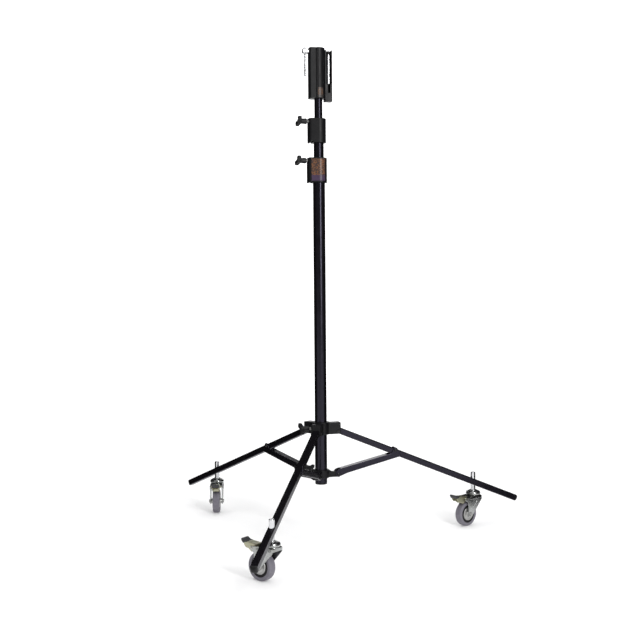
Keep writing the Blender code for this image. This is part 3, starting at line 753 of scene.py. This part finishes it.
def head():
    """The combination head: ribbed barrel, open socket, and a cradle slotted for the spigot."""
    barrel, reach = 0.0208, 0.03
    joint, hinge = spot("head_screw_turn"), spot("spigot_flip")
    top = joint.z + 0.011
    low = top - 0.158
    place = about(COLUMN, LOCK_AZIMUTH + math.pi)
    local_hinge = place.inverted() @ hinge
    wall_in, wall_out, half = 0.019, 0.0434, 0.0105
    cradle_low, cradle_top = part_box("head_receiver")[0].z, hinge.z + 0.009
    shell = slab(head_outline(barrel, reach), low, top, 0.0012)
    joins = []
    for side in (-1, 1):
        rib = soft_rod(0.0022, low + 0.0008, top - 0.0008, 0.0008, 24)
        joins.append(shifted(rib, -0.0085, side * 0.0185))
    cradle_outline = softened(rectangle(wall_in, -half, wall_out, half), 0.0022, steps=5)
    joins.append(slab(cradle_outline, cradle_low, cradle_top, 0.0012))
    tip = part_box("spigot")[0].z
    slot_half = SPIGOT_RADIUS + 0.0004
    slot = rectangle(local_hinge.x - slot_half, -half - 0.01, local_hinge.x + slot_half, 0.0078)
    pocket = rectangle(local_hinge.x - 0.0045, -half - 0.01, local_hinge.x + 0.0045, 0.006)
    cutters = [
        slab(slot, tip - 0.0015, cradle_top + 0.02, 0.0003),
        slab(pocket, tip - 0.028, tip, 0.0003),
        drilled(riser_2_radius + GAP, low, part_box("riser_2_tube")[1].z + 0.0003, 0.0008),
        plain_rod(0.009, low, top, SMALL_ROUND),
        drilled(SOCKET_RADIUS, top - 0.101, top, 0.001),
        shifted(along_x(drilled(0.0058, -reach, 0.0, 0.0006, SMALL_ROUND)), z=joint.z),
        shifted(along_x(drilled(0.0027, wall_in + 0.001, wall_out, 0.0003, 24)), y=local_hinge.y, z=hinge.z),
    ]
    bm = carved(shell, *cutters, join=joins)
    piece("combination_head", bm, casting, "riser_2", place, ["head_receiver"])
    foot, label_top = low + 0.002, low + 0.033
    ground, block, strip = (0.04, 0.03, 0.026), (0.085, 0.048, 0.028), (0.03, 0.026, 0.024)
    film = sticker("pale_label", ground, block, strip, foot, label_top)
    outline = arc((0, 0), barrel, -107, -58, 24)
    width = math.radians(49) * barrel
    wrapped_label("head_label", film, "riser_2", outline, place, 0.0, width, foot, label_top)


def head_hardware():
    joint = spot("head_screw_turn")
    place = about(joint, LOCK_AZIMUTH)
    reach = 0.03
    start, shoulder, end = SOCKET_RADIUS + 0.0002, reach + 0.0035, reach + 0.02
    bar_x = (shoulder + end) / 2 + 0.001
    profile = [(0, start), (0.0045, start), (0.0055, start + 0.001), (0.0055, shoulder)]
    profile += [(0.0078, shoulder), (0.0078, end), (0, end)]
    body = along_x(turned(profile, 0.0007, SMALL_ROUND))
    body = carved(body, shifted(drilled(0.0034, -0.0078, 0.0078, 0.0005, 24), x=bar_x))
    piece("head_screw", body, chrome, "head_screw", place, ["head_lock_screw"])
    low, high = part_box("head_tommy_bar")
    foot, top = low.z - joint.z, high.z - joint.z
    bar = [(0, foot), (0.0042, foot), (0.0042, foot + 0.0024), (0.0031, foot + 0.0028)]
    bar += [(0.0031, top - 0.0028), (0.0042, top - 0.0024), (0.0042, top), (0, top)]
    bm = turned(bar, 0.0007, SMALL_ROUND)
    piece("tommy_bar", bm, chrome, "tommy_bar", place @ Matrix.Translation((bar_x, 0, 0)), ["head_tommy_bar"])
    hinge = spot("spigot_flip")
    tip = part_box("spigot")[0].z - hinge.z
    groove, r = tip + 0.027, SPIGOT_RADIUS
    outline = [(0, tip), (r - 0.0016, tip), (r, tip + 0.0016), (r, groove - 0.003), (0.0063, groove - 0.0015)]
    outline += [(0.0063, groove + 0.0015), (r, groove + 0.003), (r, -0.005), (0, -0.005)]
    place = about(hinge, LOCK_AZIMUTH + math.pi)
    pin = turned(outline, 0.0006)
    piece("baby_spigot", pin, chrome, "spigot", place, ["spigot"])
    knuckle = [(0, -0.005), (r, -0.005), (r, 0.0006), (r * 0.85, 0.0044), (r * 0.5, 0.007), (0, 0.0076)]
    cross = along_x(plain_rod(0.0027, -0.02, 0.02))
    knuckle = carved(turned(knuckle, 0.0006), cross)
    piece("spigot_knuckle", knuckle, casting, "spigot", place)
    reach_in, reach_out = -0.0101, 0.0114
    rivet = along_x(soft_rod(0.0024, reach_in, reach_out, 0.0006, 24))
    piece("spigot_rivet", rivet, bolt_steel, "riser_2", place, ["spigot_hinge_pin"])


head()
head_hardware()
column_label()


# ---------------------------------------------------------------- folding base


def rivet(name, node, body, place, half_span):
    """A headed pin: a domed head on one side and a peened one on the other."""
    near, far = half_span + GAP, half_span + 0.0031
    dome = [(0, -far), (0.0024, -far + 0.0002), (0.0047, -far + 0.0014), (0.0055, -near), (PIN_RADIUS, -near)]
    dome += [(PIN_RADIUS, near), (0.0052, near), (0.0045, near + 0.0016), (0.002, far), (0, far)]
    bm = across(turned(dome, 0.0005, SMALL_ROUND))
    piece(name, bm, dark_steel, body, place, [node])


def bolted_pin(name, node, body, place, half_span):
    """A hexagon bolt across the hub's arm with a nut on its far side."""
    near = half_span + GAP
    shank = across(soft_rod(PIN_RADIUS, -near - 0.002, near + 0.0028, 0.0004, 24))
    bolt_head = across(hexagon(0.0056, near, near + 0.0026))
    nut = across(hexagon(0.0056, -near - 0.0026, -near))
    piece(name, merged(shank, bolt_head, nut), dark_steel, body, place, [node])


def turned_about(bm, azimuth):
    bm.transform(Matrix.Rotation(azimuth, 4, "Z"))
    return bm


def hub():
    """The sliding hub: a sleeve with three box arms, open at their ends and undersides."""
    low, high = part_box("upper_hub")
    pivot = spot("hub_rise")
    radius = (Vector((pivot.x, pivot.y, 0)) - COLUMN).length
    half = CHANNEL_INSIDE / 2
    azimuths = [leg_azimuth(index) for index in (1, 2, 3)]
    sleeve = soft_rod(0.0265, low.z, high.z, 0.0012, ROUND)
    joins, cutters = [], []
    for azimuth in azimuths:
        outline = rectangle(0.018, -half - 0.004, radius + 0.0085, half + 0.004)
        arm = slab(softened(outline, 0.0024, steps=5), low.z, high.z - 0.0025, 0.0016, 5)
        joins.append(turned_about(arm, azimuth))
        slot = rectangle(0.0285, -half, radius + 0.02, half)
        cutters.append(turned_about(slab(slot, low.z - 0.01, pivot.z + HUB_TOP - HUB_ROOF, 0.0004), azimuth))
        cutters.append(turned_about(pin_hole(half + 0.004, radius, pivot.z, 0.0004), azimuth))
    middle = spot("hub_knob_turn").z
    boss = [(0, 0.015), (0.01, 0.015), (0.0095, 0.0335), (0, 0.0335)]
    boss = shifted(along_x(turned(boss, 0.001, SMALL_ROUND)), z=middle)
    joins.append(turned_about(boss, LOCK_AZIMUTH))
    cutters.append(drilled(column_radius + 0.0004, low.z, high.z, 0.0009))
    bore = shifted(along_x(drilled(SCREW_RADIUS + GAP, 0.012, 0.0335, 0.0006, SMALL_ROUND)), z=middle)
    cutters.append(turned_about(bore, LOCK_AZIMUTH))
    bm = carved(sleeve, *cutters, join=joins)
    piece("sliding_hub", bm, casting, "hub", Matrix.Translation(COLUMN), ["upper_hub"])
    for index, azimuth in enumerate(azimuths, 1):
        place = about(around_column(azimuth, radius, pivot.z), azimuth)
        bolted_pin(f"hub_bolt_{index}", f"hub_pin_{index}", "hub", place, half + 0.004)
    place = about(spot("hub_knob_turn"), LOCK_AZIMUTH, spin=HUB_KNOB_TURN)
    lock_screw("hub_screw", "hub_lock_screw", "hub_knob", place, column_radius + 0.0008, 0.0475)
    t_knob("hub_knob", "hub_lock_knob", "hub_knob", place @ Matrix.Translation((0.039, 0, 0)))


def foot_bracket():
    """The fixed bracket: a ring with three lugs that the braces hinge on."""
    low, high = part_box("lower_bracket")
    pivot = spot("fold")
    radius = (Vector((pivot.x, pivot.y, 0)) - COLUMN).length
    half = CHANNEL_INSIDE / 2 - 0.0007
    ring = soft_rod(0.0255, low.z, high.z, 0.0014, ROUND)
    joins, cutters = [], []
    for index in (1, 2, 3):
        azimuth = leg_azimuth(index)
        x, z = radius, pivot.z
        outline = [(0.018, z - 0.0083), (x, z - 0.0085)] + arc((x, z), 0.0085, -80, 90, 16)
        outline += [(0.036, z + 0.0085), (0.025, high.z - 0.002), (0.018, high.z - 0.002)]
        joins.append(turned_about(upright(slab(outline, -half, half, 0.0012)), azimuth))
        cutters.append(turned_about(pin_hole(half, x, z), azimuth))
        place = about(around_column(azimuth, radius, z), azimuth)
        span = CHANNEL_INSIDE / 2 + CHANNEL_WALL
        rivet(f"bracket_rivet_{index}", f"bracket_pin_{index}", "column", place, span)
    cutters.append(drilled(column_radius + GAP, low.z, high.z, 0.0008))
    bm = carved(ring, *cutters, join=joins)
    place = Matrix.Translation(COLUMN)
    piece("foot_bracket", bm, casting, "column", place, ["lower_bracket"])


def brace(index):
    """A pressed channel, open downwards, with rounded ears at both pivots."""
    foot, end = spot("fold" if index == 1 else f"brace_{index}_fold"), spot(f"leg_{index}_fold")
    reach = (end - foot).length
    slope = math.asin((end.z - foot.z) / reach)
    inside, wall, depth = CHANNEL_INSIDE / 2, CHANNEL_WALL, 0.01
    skew = math.tan(math.radians(5.7))

    def middle(x):
        return 0.0054 - x * skew

    outline = arc((0, 0), 0.0088, 150, 290, 14)
    outline += [(0.03, middle(0.03) - depth), (reach + 0.0095, middle(reach + 0.0095) - depth)]
    outline += [(reach + 0.0125, middle(reach) - depth + 0.003)]
    outline += arc((reach, 0), 0.0085, 0, 130, 14)
    outline += [(reach - 0.0165, middle(reach) + depth), (0.004, middle(0.004) + depth), (-0.004, 0.0125)]
    shell = upright(slab(softened(outline, 0.0012, steps=2), -inside - wall, inside + wall, 0.0015, 4))
    web_from, web_to, roof = 0.014, reach - 0.033, depth - wall
    inner = [(-0.03, -0.05), (reach + 0.03, -0.05), (reach + 0.03, 0.03), (web_to, 0.03)]
    inner += [(web_to, middle(web_to) + roof), (web_from, middle(web_from) + roof)]
    inner += [(web_from, 0.03), (-0.03, 0.03)]
    cutters = [upright(slab(inner, -inside, inside, 0.0003))]
    for x in (0, reach):
        cutters.append(pin_hole(inside + wall, x))
    place = about(foot, leg_azimuth(index), -slope)
    body = f"brace_{index}"
    piece(f"channel_brace_{index}", carved(shell, *cutters), paint, body, place, [body])
    if index > 1:
        flat = about(end, leg_azimuth(index))
        rivet(f"brace_rivet_{index}", f"brace_pin_{index}", body, flat, inside + wall)


def leg(index):
    """A square tube with soft corners, a hole for the caster's stem and a domed end cap."""
    pivot = spot(f"leg_{index}_fold")
    foot, hub_pivot = spot("fold"), spot("hub_rise")
    link = (spot("leg_1_fold") - foot).length
    link_slope = math.asin((hub_pivot.z - foot.z) / 2 / link)
    drop = link * math.sin(LEG_SLOPE - link_slope) / 2
    top_x = -link * math.cos(LEG_SLOPE - link_slope)
    azimuth = leg_azimuth(index)
    place = about(pivot, azimuth, LEG_SLOPE)
    cap_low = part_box(f"leg_end_cap_{index}")[0].z
    local_foot = (pivot.z - cap_low - LEG_SIZE / 2 * math.cos(LEG_SLOPE) + 0.0011) / math.sin(LEG_SLOPE)
    end = local_foot - drop / math.tan(LEG_SLOPE) - 0.006
    start = top_x - 0.013
    bore = LEG_SIZE - 2 * LEG_WALL
    tube = along_x(slab(rounded_square(LEG_SIZE, 0.003), start, end - 0.003, 0.0005))
    hollow = along_x(slab(rounded_square(bore, 0.0015), start - 0.01, end + 0.01, 0.0002))
    stem = spot(f"caster_{index}_swivel")
    reach = (Vector((stem.x - pivot.x, stem.y - pivot.y, 0))).length
    stem_x = (reach + drop * math.sin(LEG_SLOPE)) / math.cos(LEG_SLOPE)
    socket = plain_rod(STEM_RADIUS + GAP, -0.04, 0.04, 48)
    socket.transform(Matrix.Rotation(-LEG_SLOPE, 4, "Y"))
    half = LEG_SIZE / 2
    cutters = [
        shifted(hollow, z=-drop),
        pin_hole(half),
        pin_hole(half, top_x, -2 * drop),
        shifted(socket, x=stem_x, z=-drop),
    ]
    bm = carved(shifted(tube, z=-drop), *cutters)
    body = f"leg_{index}"
    piece(f"square_leg_{index}", bm, paint, body, place, [f"leg_tube_{index}"])
    cap = domed_square(LEG_SIZE + 0.0004, 0.0034, end - 0.0027, end + 0.0076, 0.0098)
    plug = slab(rounded_square(bore - 0.0006, 0.0012), end - 0.014, end + 0.002, 0.0005)
    cap_bm = shifted(along_x(merged(cap, plug)), z=-drop)
    piece(f"end_cap_{index}", cap_bm, plastic, body, place, [f"leg_end_cap_{index}"])


def leveling_clamp():
    """The bolt and small T-knob that clamp leg 1 to its brace."""
    span = CHANNEL_INSIDE / 2 + CHANNEL_WALL
    near, end = span + GAP, span + 0.01
    axis = direction("leveling_knob_turn")
    place = about(spot("leveling_knob_turn"), math.atan2(axis.y, axis.x))
    shank = along_x(lathe(threaded(PIN_RADIUS, -near - 0.001, end), 32))
    bolt_head = along_x(hexagon(0.0056, -near - 0.003, -near))
    washer = along_x(washer_ring(PIN_RADIUS, 0.006, near, near + 0.001, 0.0002))
    bolt = merged(shank, bolt_head, washer)
    piece("clamp_bolt", bolt, dark_steel, "leveling_knob", place, ["leveling_bolt"])
    knob_place = place @ Matrix.Rotation(CLAMP_KNOB_TURN, 4, "X") @ Matrix.Translation((span + 0.0035, 0, 0))
    t_knob("clamp_knob", "leveling_knob", "leveling_knob", knob_place, 0.8)


hub()
foot_bracket()
for index in (1, 2, 3):
    brace(index)
    leg(index)
leveling_clamp()


# ---------------------------------------------------------------- casters


def caster_stem(index, place):
    low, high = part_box(f"caster_stem_{index}")
    r = STEM_RADIUS
    profile = [(0, low.z), (r, low.z), (r, high.z - 0.0016), (r - 0.0016, high.z)]
    profile += [(0.0035, high.z), (0, high.z - 0.002)]
    bm = turned(profile, 0.0005, 64)
    piece(f"chrome_stem_{index}", bm, chrome, f"leg_{index}", place, [f"caster_stem_{index}"])


def caster_fork(index, place, trail, axle_z, pedal_x, pedal_z):
    """A pressed fork: a ball race in a rolled cup, a domed crown, and two cheeks down to the axle."""
    body = f"caster_{index}"
    cup = [(STEM_RADIUS + 0.0004, 0.099), (0.02, 0.099), (0.0236, 0.101), (0.0242, 0.1045)]
    cup += [(0.0226, 0.1092), (0.018, 0.1115), (0.013, 0.1128), (STEM_RADIUS + 0.0004, 0.1132)]
    cup = turned_ring(cup, 0.0016, steps=5)
    washer = washer_ring(STEM_RADIUS + 0.0004, 0.0118, 0.113, 0.1146, 0.0004, 64)
    race = [(STEM_RADIUS + 0.0004, 0.0962), (0.0212, 0.0962), (0.0218, 0.0975), (0.0212, 0.0992)]
    race = turned_ring(race + [(STEM_RADIUS + 0.0004, 0.0992)], 0.0005)
    crown = [(-0.019, 0.0868), (0.04, 0.0868), (0.0405, 0.094), (0.024, 0.0985), (-0.0185, 0.0985)]
    outside = FORK_INSIDE + FORK_PLATE
    crown = upright(slab(softened(crown, 0.0035, steps=5), -outside, outside, 0.0028, 5))
    crown = carved(crown, plain_rod(STEM_RADIUS + GAP, 0.07, 0.13, 48))
    cheek = [(-0.019, 0.097), (-0.019, 0.0845)] + arc((trail, axle_z), 0.0108, 205, 350, 22)
    cheek += [(0.0452, 0.056), (0.0468, 0.08), (0.0585, 0.086), (0.0592, 0.096), (0.04, 0.0975)]
    shapes = [cup, washer, race, crown]
    for side in (-1, 1):
        lower, upper = sorted((side * FORK_INSIDE, side * outside))
        wall = upright(slab(softened(cheek, 0.002), lower, upper, 0.0009))
        hole = across(plain_rod(0.0024, -0.03, 0.03), pedal_x, pedal_z)
        rib = [(-0.012, 0.09), (-0.0105, 0.0835), (0.029, 0.05), (0.033, 0.053), (0.0, 0.086)]
        foot, top = (upper - 0.0004, upper + 0.0006) if side > 0 else (lower - 0.0006, lower + 0.0004)
        shapes += [carved(wall, hole), upright(slab(softened(rib, 0.0022), foot, top, 0.0005))]
    piece(f"pressed_fork_{index}", merged(*shapes), zinc, body, place, [f"caster_fork_{index}"])


def caster_axle(index, place, trail, axle_z):
    half = FORK_INSIDE + FORK_PLATE + GAP
    bolt = soft_rod(0.004, -half - 0.003, half + 0.0042, 0.0005, 32)
    shapes = [bolt, hexagon(0.0064, half, half + 0.0034), hexagon(0.0064, -half - 0.0036, -half)]
    for side in (-1, 1):
        low, high = sorted((side * half, side * (half + 0.0006)))
        shapes.append(washer_ring(0.004, 0.0076, low, high, 0.0001))
    bm = across(merged(*shapes), trail, axle_z)
    body = f"caster_{index}"
    piece(f"axle_bolt_{index}", bm, bolt_steel, body, place, [f"caster_axle_{index}"])


def caster_wheel(index, place, trail, axle_z):
    """A soft tread on a black rim, with a dished silver disc on each side."""
    body = f"wheel_{index}"
    r = WHEEL_RADIUS
    tread = [(0.0288, -0.0108), (0.03, -0.012), (0.0345, -0.0125), (0.0378, -0.012), (0.0394, -0.0096)]
    tread += [(r - 0.0001, -0.005), (r, -0.0002)]
    tread += [(radius, -width) for radius, width in reversed(tread[:-1])]
    tyre = across(turned_ring(tread, 0.0015, 128, 4), trail, axle_z)
    piece(f"tyre_{index}", tyre, rubber, body, place, [f"caster_tyre_{index}"])
    rim = [(0.02, -0.0098), (0.0292, -0.0112), (0.0296, -0.008), (0.0288, 0.0), (0.0296, 0.008)]
    rim += [(0.0292, 0.0112), (0.02, 0.0098)]
    rim = across(turned_ring(rim, 0.0008), trail, axle_z)
    piece(f"rim_{index}", rim, plastic, body, place)
    half = [(0.0045, -0.0185), (0.0082, -0.0185), (0.0092, -0.0142), (0.0108, -0.0128), (0.016, -0.0118)]
    half += [(0.0182, -0.0126), (0.0206, -0.0122), (0.0217, -0.01)]
    half += [(radius, -width) for radius, width in reversed(half)]
    bm = across(turned_ring(half, 0.0009, steps=4), trail, axle_z)
    piece(f"wheel_disc_{index}", bm, disc, body, place, [f"caster_hub_{index}"])


def caster_brake(index, place, pivot):
    """A yellow-zinc lever with turned-down sides under a dark ribbed toe pedal."""
    body = f"brake_{index}"
    lever = [(0.044, 0.0905), (0.056, 0.08), (0.062, 0.0768), (0.067, 0.0795), (0.074, 0.085)]
    lever += [(0.084, 0.0862), (0.09, 0.093), (0.0905, 0.1026), (0.08, 0.1028), (0.06, 0.1012)]
    lever += [(0.044, 0.1)]
    shell = upright(slab(softened(lever, 0.002, steps=4), -0.0122, 0.0122, 0.001))
    hollow = [(0.03, 0.06), (0.11, 0.06), (0.11, 0.1012), (0.08, 0.1008), (0.03, 0.0982)]
    shell = carved(shell, upright(slab(hollow, -0.0104, 0.0104, 0.0004)))
    cam = [(0.053, 0.088), (0.0575, 0.0795), (0.062, 0.077)]
    cam += [(0.0665, 0.08), (0.066, 0.09), (0.056, 0.094)]
    cam = upright(slab(softened(cam, 0.002, steps=4), -0.01, 0.01, 0.0006))
    pin = across(soft_rod(0.002, -0.0215, 0.0215, 0.0004, 24), pivot.x, pivot.z)
    bm = merged(shell, cam, pin)
    piece(f"brake_lever_{index}", bm, yellow, body, place, [f"caster_brake_{index}"])
    pedal = [(0.078, 0.101), (0.078, 0.103), (0.086, 0.1038), (0.0935, 0.1084), (0.0972, 0.11)]
    pedal += [(0.1, 0.1078), (0.0992, 0.1036), (0.0945, 0.0975), (0.0898, 0.0965), (0.0893, 0.101)]
    pad = upright(slab(softened(pedal, 0.001, steps=3), -0.0128, 0.0128, 0.001))
    shapes = [pad]
    for i in range(3):
        x = 0.0815 + 0.0052 * i
        z = 0.1029 + max(0.0, (x - 0.086)) * 0.62
        shapes.append(across(soft_rod(0.0011, -0.0105, 0.0105, 0.0005, 16), x, z))
    piece(f"toe_pedal_{index}", merged(*shapes), lever_plastic, body, place)


def caster(index):
    stem = spot(f"caster_{index}_swivel")
    wheel = spot(f"wheel_{index}_roll")
    offset = Vector((wheel.x - stem.x, wheel.y - stem.y, 0))
    heading = math.atan2(offset.y, offset.x)
    place = about(Vector((stem.x, stem.y, 0)), heading)
    pivot = place.inverted() @ spot(f"brake_{index}_press")
    caster_stem(index, place)
    caster_fork(index, place, offset.length, wheel.z, pivot.x, pivot.z)
    caster_axle(index, place, offset.length, wheel.z)
    caster_wheel(index, place, offset.length, wheel.z)
    caster_brake(index, place, pivot)


for index in (1, 2, 3):
    caster(index)


# ---------------------------------------------------------------- studio


def studio_floor():
    """A pale sweep that curves up behind the stand; it glows as painted light, faintly near the stand and
    brighter further out.
    """
    size, rise, bend = 9.0, 6.0, 2.0
    profile = [(-size, 0.0), (size - bend, 0.0)]
    profile += [(size - bend + x, bend + z) for x, z in arc((0, 0), bend, -90, 0, 24)]
    profile += [(size, rise)]
    bm = bmesh.new()
    rows = [[bm.verts.new((x, depth, z)) for x in (-size, size)] for depth, z in profile]
    for a, b in zip(rows, rows[1:]):
        bm.faces.new((a[0], a[1], b[1], b[0]))
    p = Paint("glowing_white_sweep")
    p.to(p.mix(p.noise(3.0, 3.0), (0.8, 0.8, 0.8), (0.84, 0.84, 0.84)), "Base Color")
    p.set(Roughness=0.9, Specular_IOR_Level=0.1, Emission_Color=(1.0, 1.0, 1.0, 1.0))
    distance = p.node("VectorMath")
    distance.operation = "LENGTH"
    p.links.new(p.where, distance.inputs[0])
    # Painted light: the sweep glows, faintly near the stand and more strongly further from it, so that the
    # floor reads as brightly lit.
    p.to(p.ramp(distance.outputs["Value"], 0.18, 0.85, 0.6, 4.5), "Emission Strength")
    sweep = mesh_object("studio_sweep", bm, p.mat)
    sweep.data.shade_smooth()
    return sweep


CAMERA_AZIMUTH = math.radians(-75.17)
CAMERA_DISTANCE = 3.139
CAMERA_HEIGHT = 0.797
CAMERA_PITCH = math.radians(2.0)
CAMERA_ROLL = -0.0077
FOCAL_WIDTHS = 990.6 / 640  # focal length over the picture's width


def camera():
    outward = Vector((math.cos(CAMERA_AZIMUTH), math.sin(CAMERA_AZIMUTH), 0))
    place = COLUMN + outward * CAMERA_DISTANCE + Vector((0, 0, CAMERA_HEIGHT))
    ahead = (-outward * math.cos(CAMERA_PITCH) - Vector((0, 0, math.sin(CAMERA_PITCH)))).normalized()
    level = ahead.cross(Vector((0, 0, 1))).normalized()
    above = level.cross(ahead)
    right = level * math.cos(CAMERA_ROLL) + above * math.sin(CAMERA_ROLL)
    up = right.cross(ahead)
    data = bpy.data.cameras.new("camera")
    data.sensor_width = 36.0
    data.lens = 36.0 * FOCAL_WIDTHS
    obj = linked("camera", data)
    turn = Matrix((right, up, -ahead)).transposed().to_4x4()
    obj.matrix_world = Matrix.Translation(place) @ turn
    bpy.context.scene.camera = obj
    return ahead, level


def area_light(name, place, target, size, power, glossy=True):
    data = bpy.data.lights.new(name, "AREA")
    data.shape = "RECTANGLE"
    data.size, data.size_y = size
    data.energy = power
    obj = linked(name, data)
    obj.location = place
    obj.rotation_euler = (Vector(target) - Vector(place)).to_track_quat("-Z", "Y").to_euler()
    obj.visible_camera = False
    obj.visible_glossy = glossy


def glossy_card(name, bm):
    """A black card that nothing but a glossy surface sees."""
    p = Paint(name).set(Roughness=1.0, Specular_IOR_Level=0.0)
    p.to(p.mix(p.noise(4.0), (0.01, 0.01, 0.01), (0.014, 0.014, 0.014)), "Base Color")
    card = mesh_object(name, bm, p.mat)
    card.visible_camera = False
    card.visible_diffuse = False
    card.visible_shadow = False
    card.visible_transmission = False


def black_flag(name, azimuth_low, azimuth_high):
    """A curved black card with a skirt on the floor, seen only in glossy surfaces, to draw their edges."""
    bm = bmesh.new()
    radius, skirt, top, steps = 2.3, 0.8, 2.3, 8
    rows = []
    for step in range(steps + 1):
        a = CAMERA_AZIMUTH + math.radians(azimuth_low + (azimuth_high - azimuth_low) * step / steps)
        row = [around_column(a, skirt, 0.004), around_column(a, radius, 0.02), around_column(a, radius, top)]
        rows.append([bm.verts.new(point) for point in row])
    for a, b in zip(rows, rows[1:]):
        bm.faces.new((a[0], b[0], b[1], a[1]))
        bm.faces.new((a[1], b[1], b[2], a[2]))
    glossy_card(name, bm)


def overhead_flag():
    """A black card above and behind the stand, seen only in glossy surfaces."""
    back = CAMERA_AZIMUTH + math.pi
    bm = bmesh.new()
    rows = []
    for radius, z in ((3.6, 1.9), (1.9, 3.3), (0.7, 3.4)):
        angles = [back + math.radians(a) for a in range(-90, 91, 15)]
        rows.append([bm.verts.new(around_column(a, radius, z)) for a in angles])
    for low, high in zip(rows, rows[1:]):
        for i in range(len(low) - 1):
            bm.faces.new((low[i], low[i + 1], high[i + 1], high[i]))
    glossy_card("overhead_flag", bm)


def studio():
    sweep = studio_floor()
    ahead, level = camera()
    flat = Vector((ahead.x, ahead.y, 0)).normalized()
    sweep.rotation_euler = (0, 0, math.atan2(flat.y, flat.x) - math.radians(90))
    sweep.location = (COLUMN.x, COLUMN.y, 0)
    middle = COLUMN + Vector((0, 0, 0.8))
    up = Vector((0, 0, 1))
    area_light("key", middle - flat * 2.3 + level * 1.3 + up, middle, (0.4, 2.4), 55)
    area_light("fill", middle - flat * 1.2 - level * 2.6 + up * 0.5, middle, (0.5, 2.4), 10, glossy=False)
    area_light("top", middle + flat * 0.6 + up * 2.8, middle, (3.0, 3.0), 38)
    black_flag("left_flag", -172, -66)
    black_flag("right_flag", 66, 172)
    overhead_flag()
    world = bpy.data.worlds.new("studio")
    world.use_nodes = True
    nodes, links = world.node_tree.nodes, world.node_tree.links
    background = nodes["Background"]
    background.inputs["Strength"].default_value = 1.0
    where = nodes.new("ShaderNodeTexCoord").outputs["Generated"]
    split = nodes.new("ShaderNodeSeparateXYZ")
    links.new(where, split.inputs["Vector"])
    ramp = nodes.new("ShaderNodeValToRGB")
    for place, grey in ((0.42, 0.07), (0.52, 0.13), (0.75, 0.3), (1.0, 0.55)):
        stop = ramp.color_ramp.elements.new(place)
        stop.color = (grey, grey, grey * 1.03, 1.0)
    lift = nodes.new("ShaderNodeMapRange")
    lift.inputs["From Min"].default_value = -1.0
    links.new(split.outputs["Z"], lift.inputs["Value"])
    links.new(lift.outputs["Result"], ramp.inputs["Fac"])
    seen = nodes.new("ShaderNodeLightPath").outputs["Is Camera Ray"]
    pale = nodes.new("ShaderNodeMix")
    pale.data_type = "RGBA"
    pale.inputs[7].default_value = (0.92, 0.92, 0.92, 1.0)
    links.new(seen, pale.inputs[0])
    links.new(ramp.outputs["Color"], pale.inputs[6])
    links.new(pale.outputs[2], background.inputs["Color"])
    bpy.context.scene.world = world
    bpy.context.scene.view_settings.view_transform = "Standard"


studio()
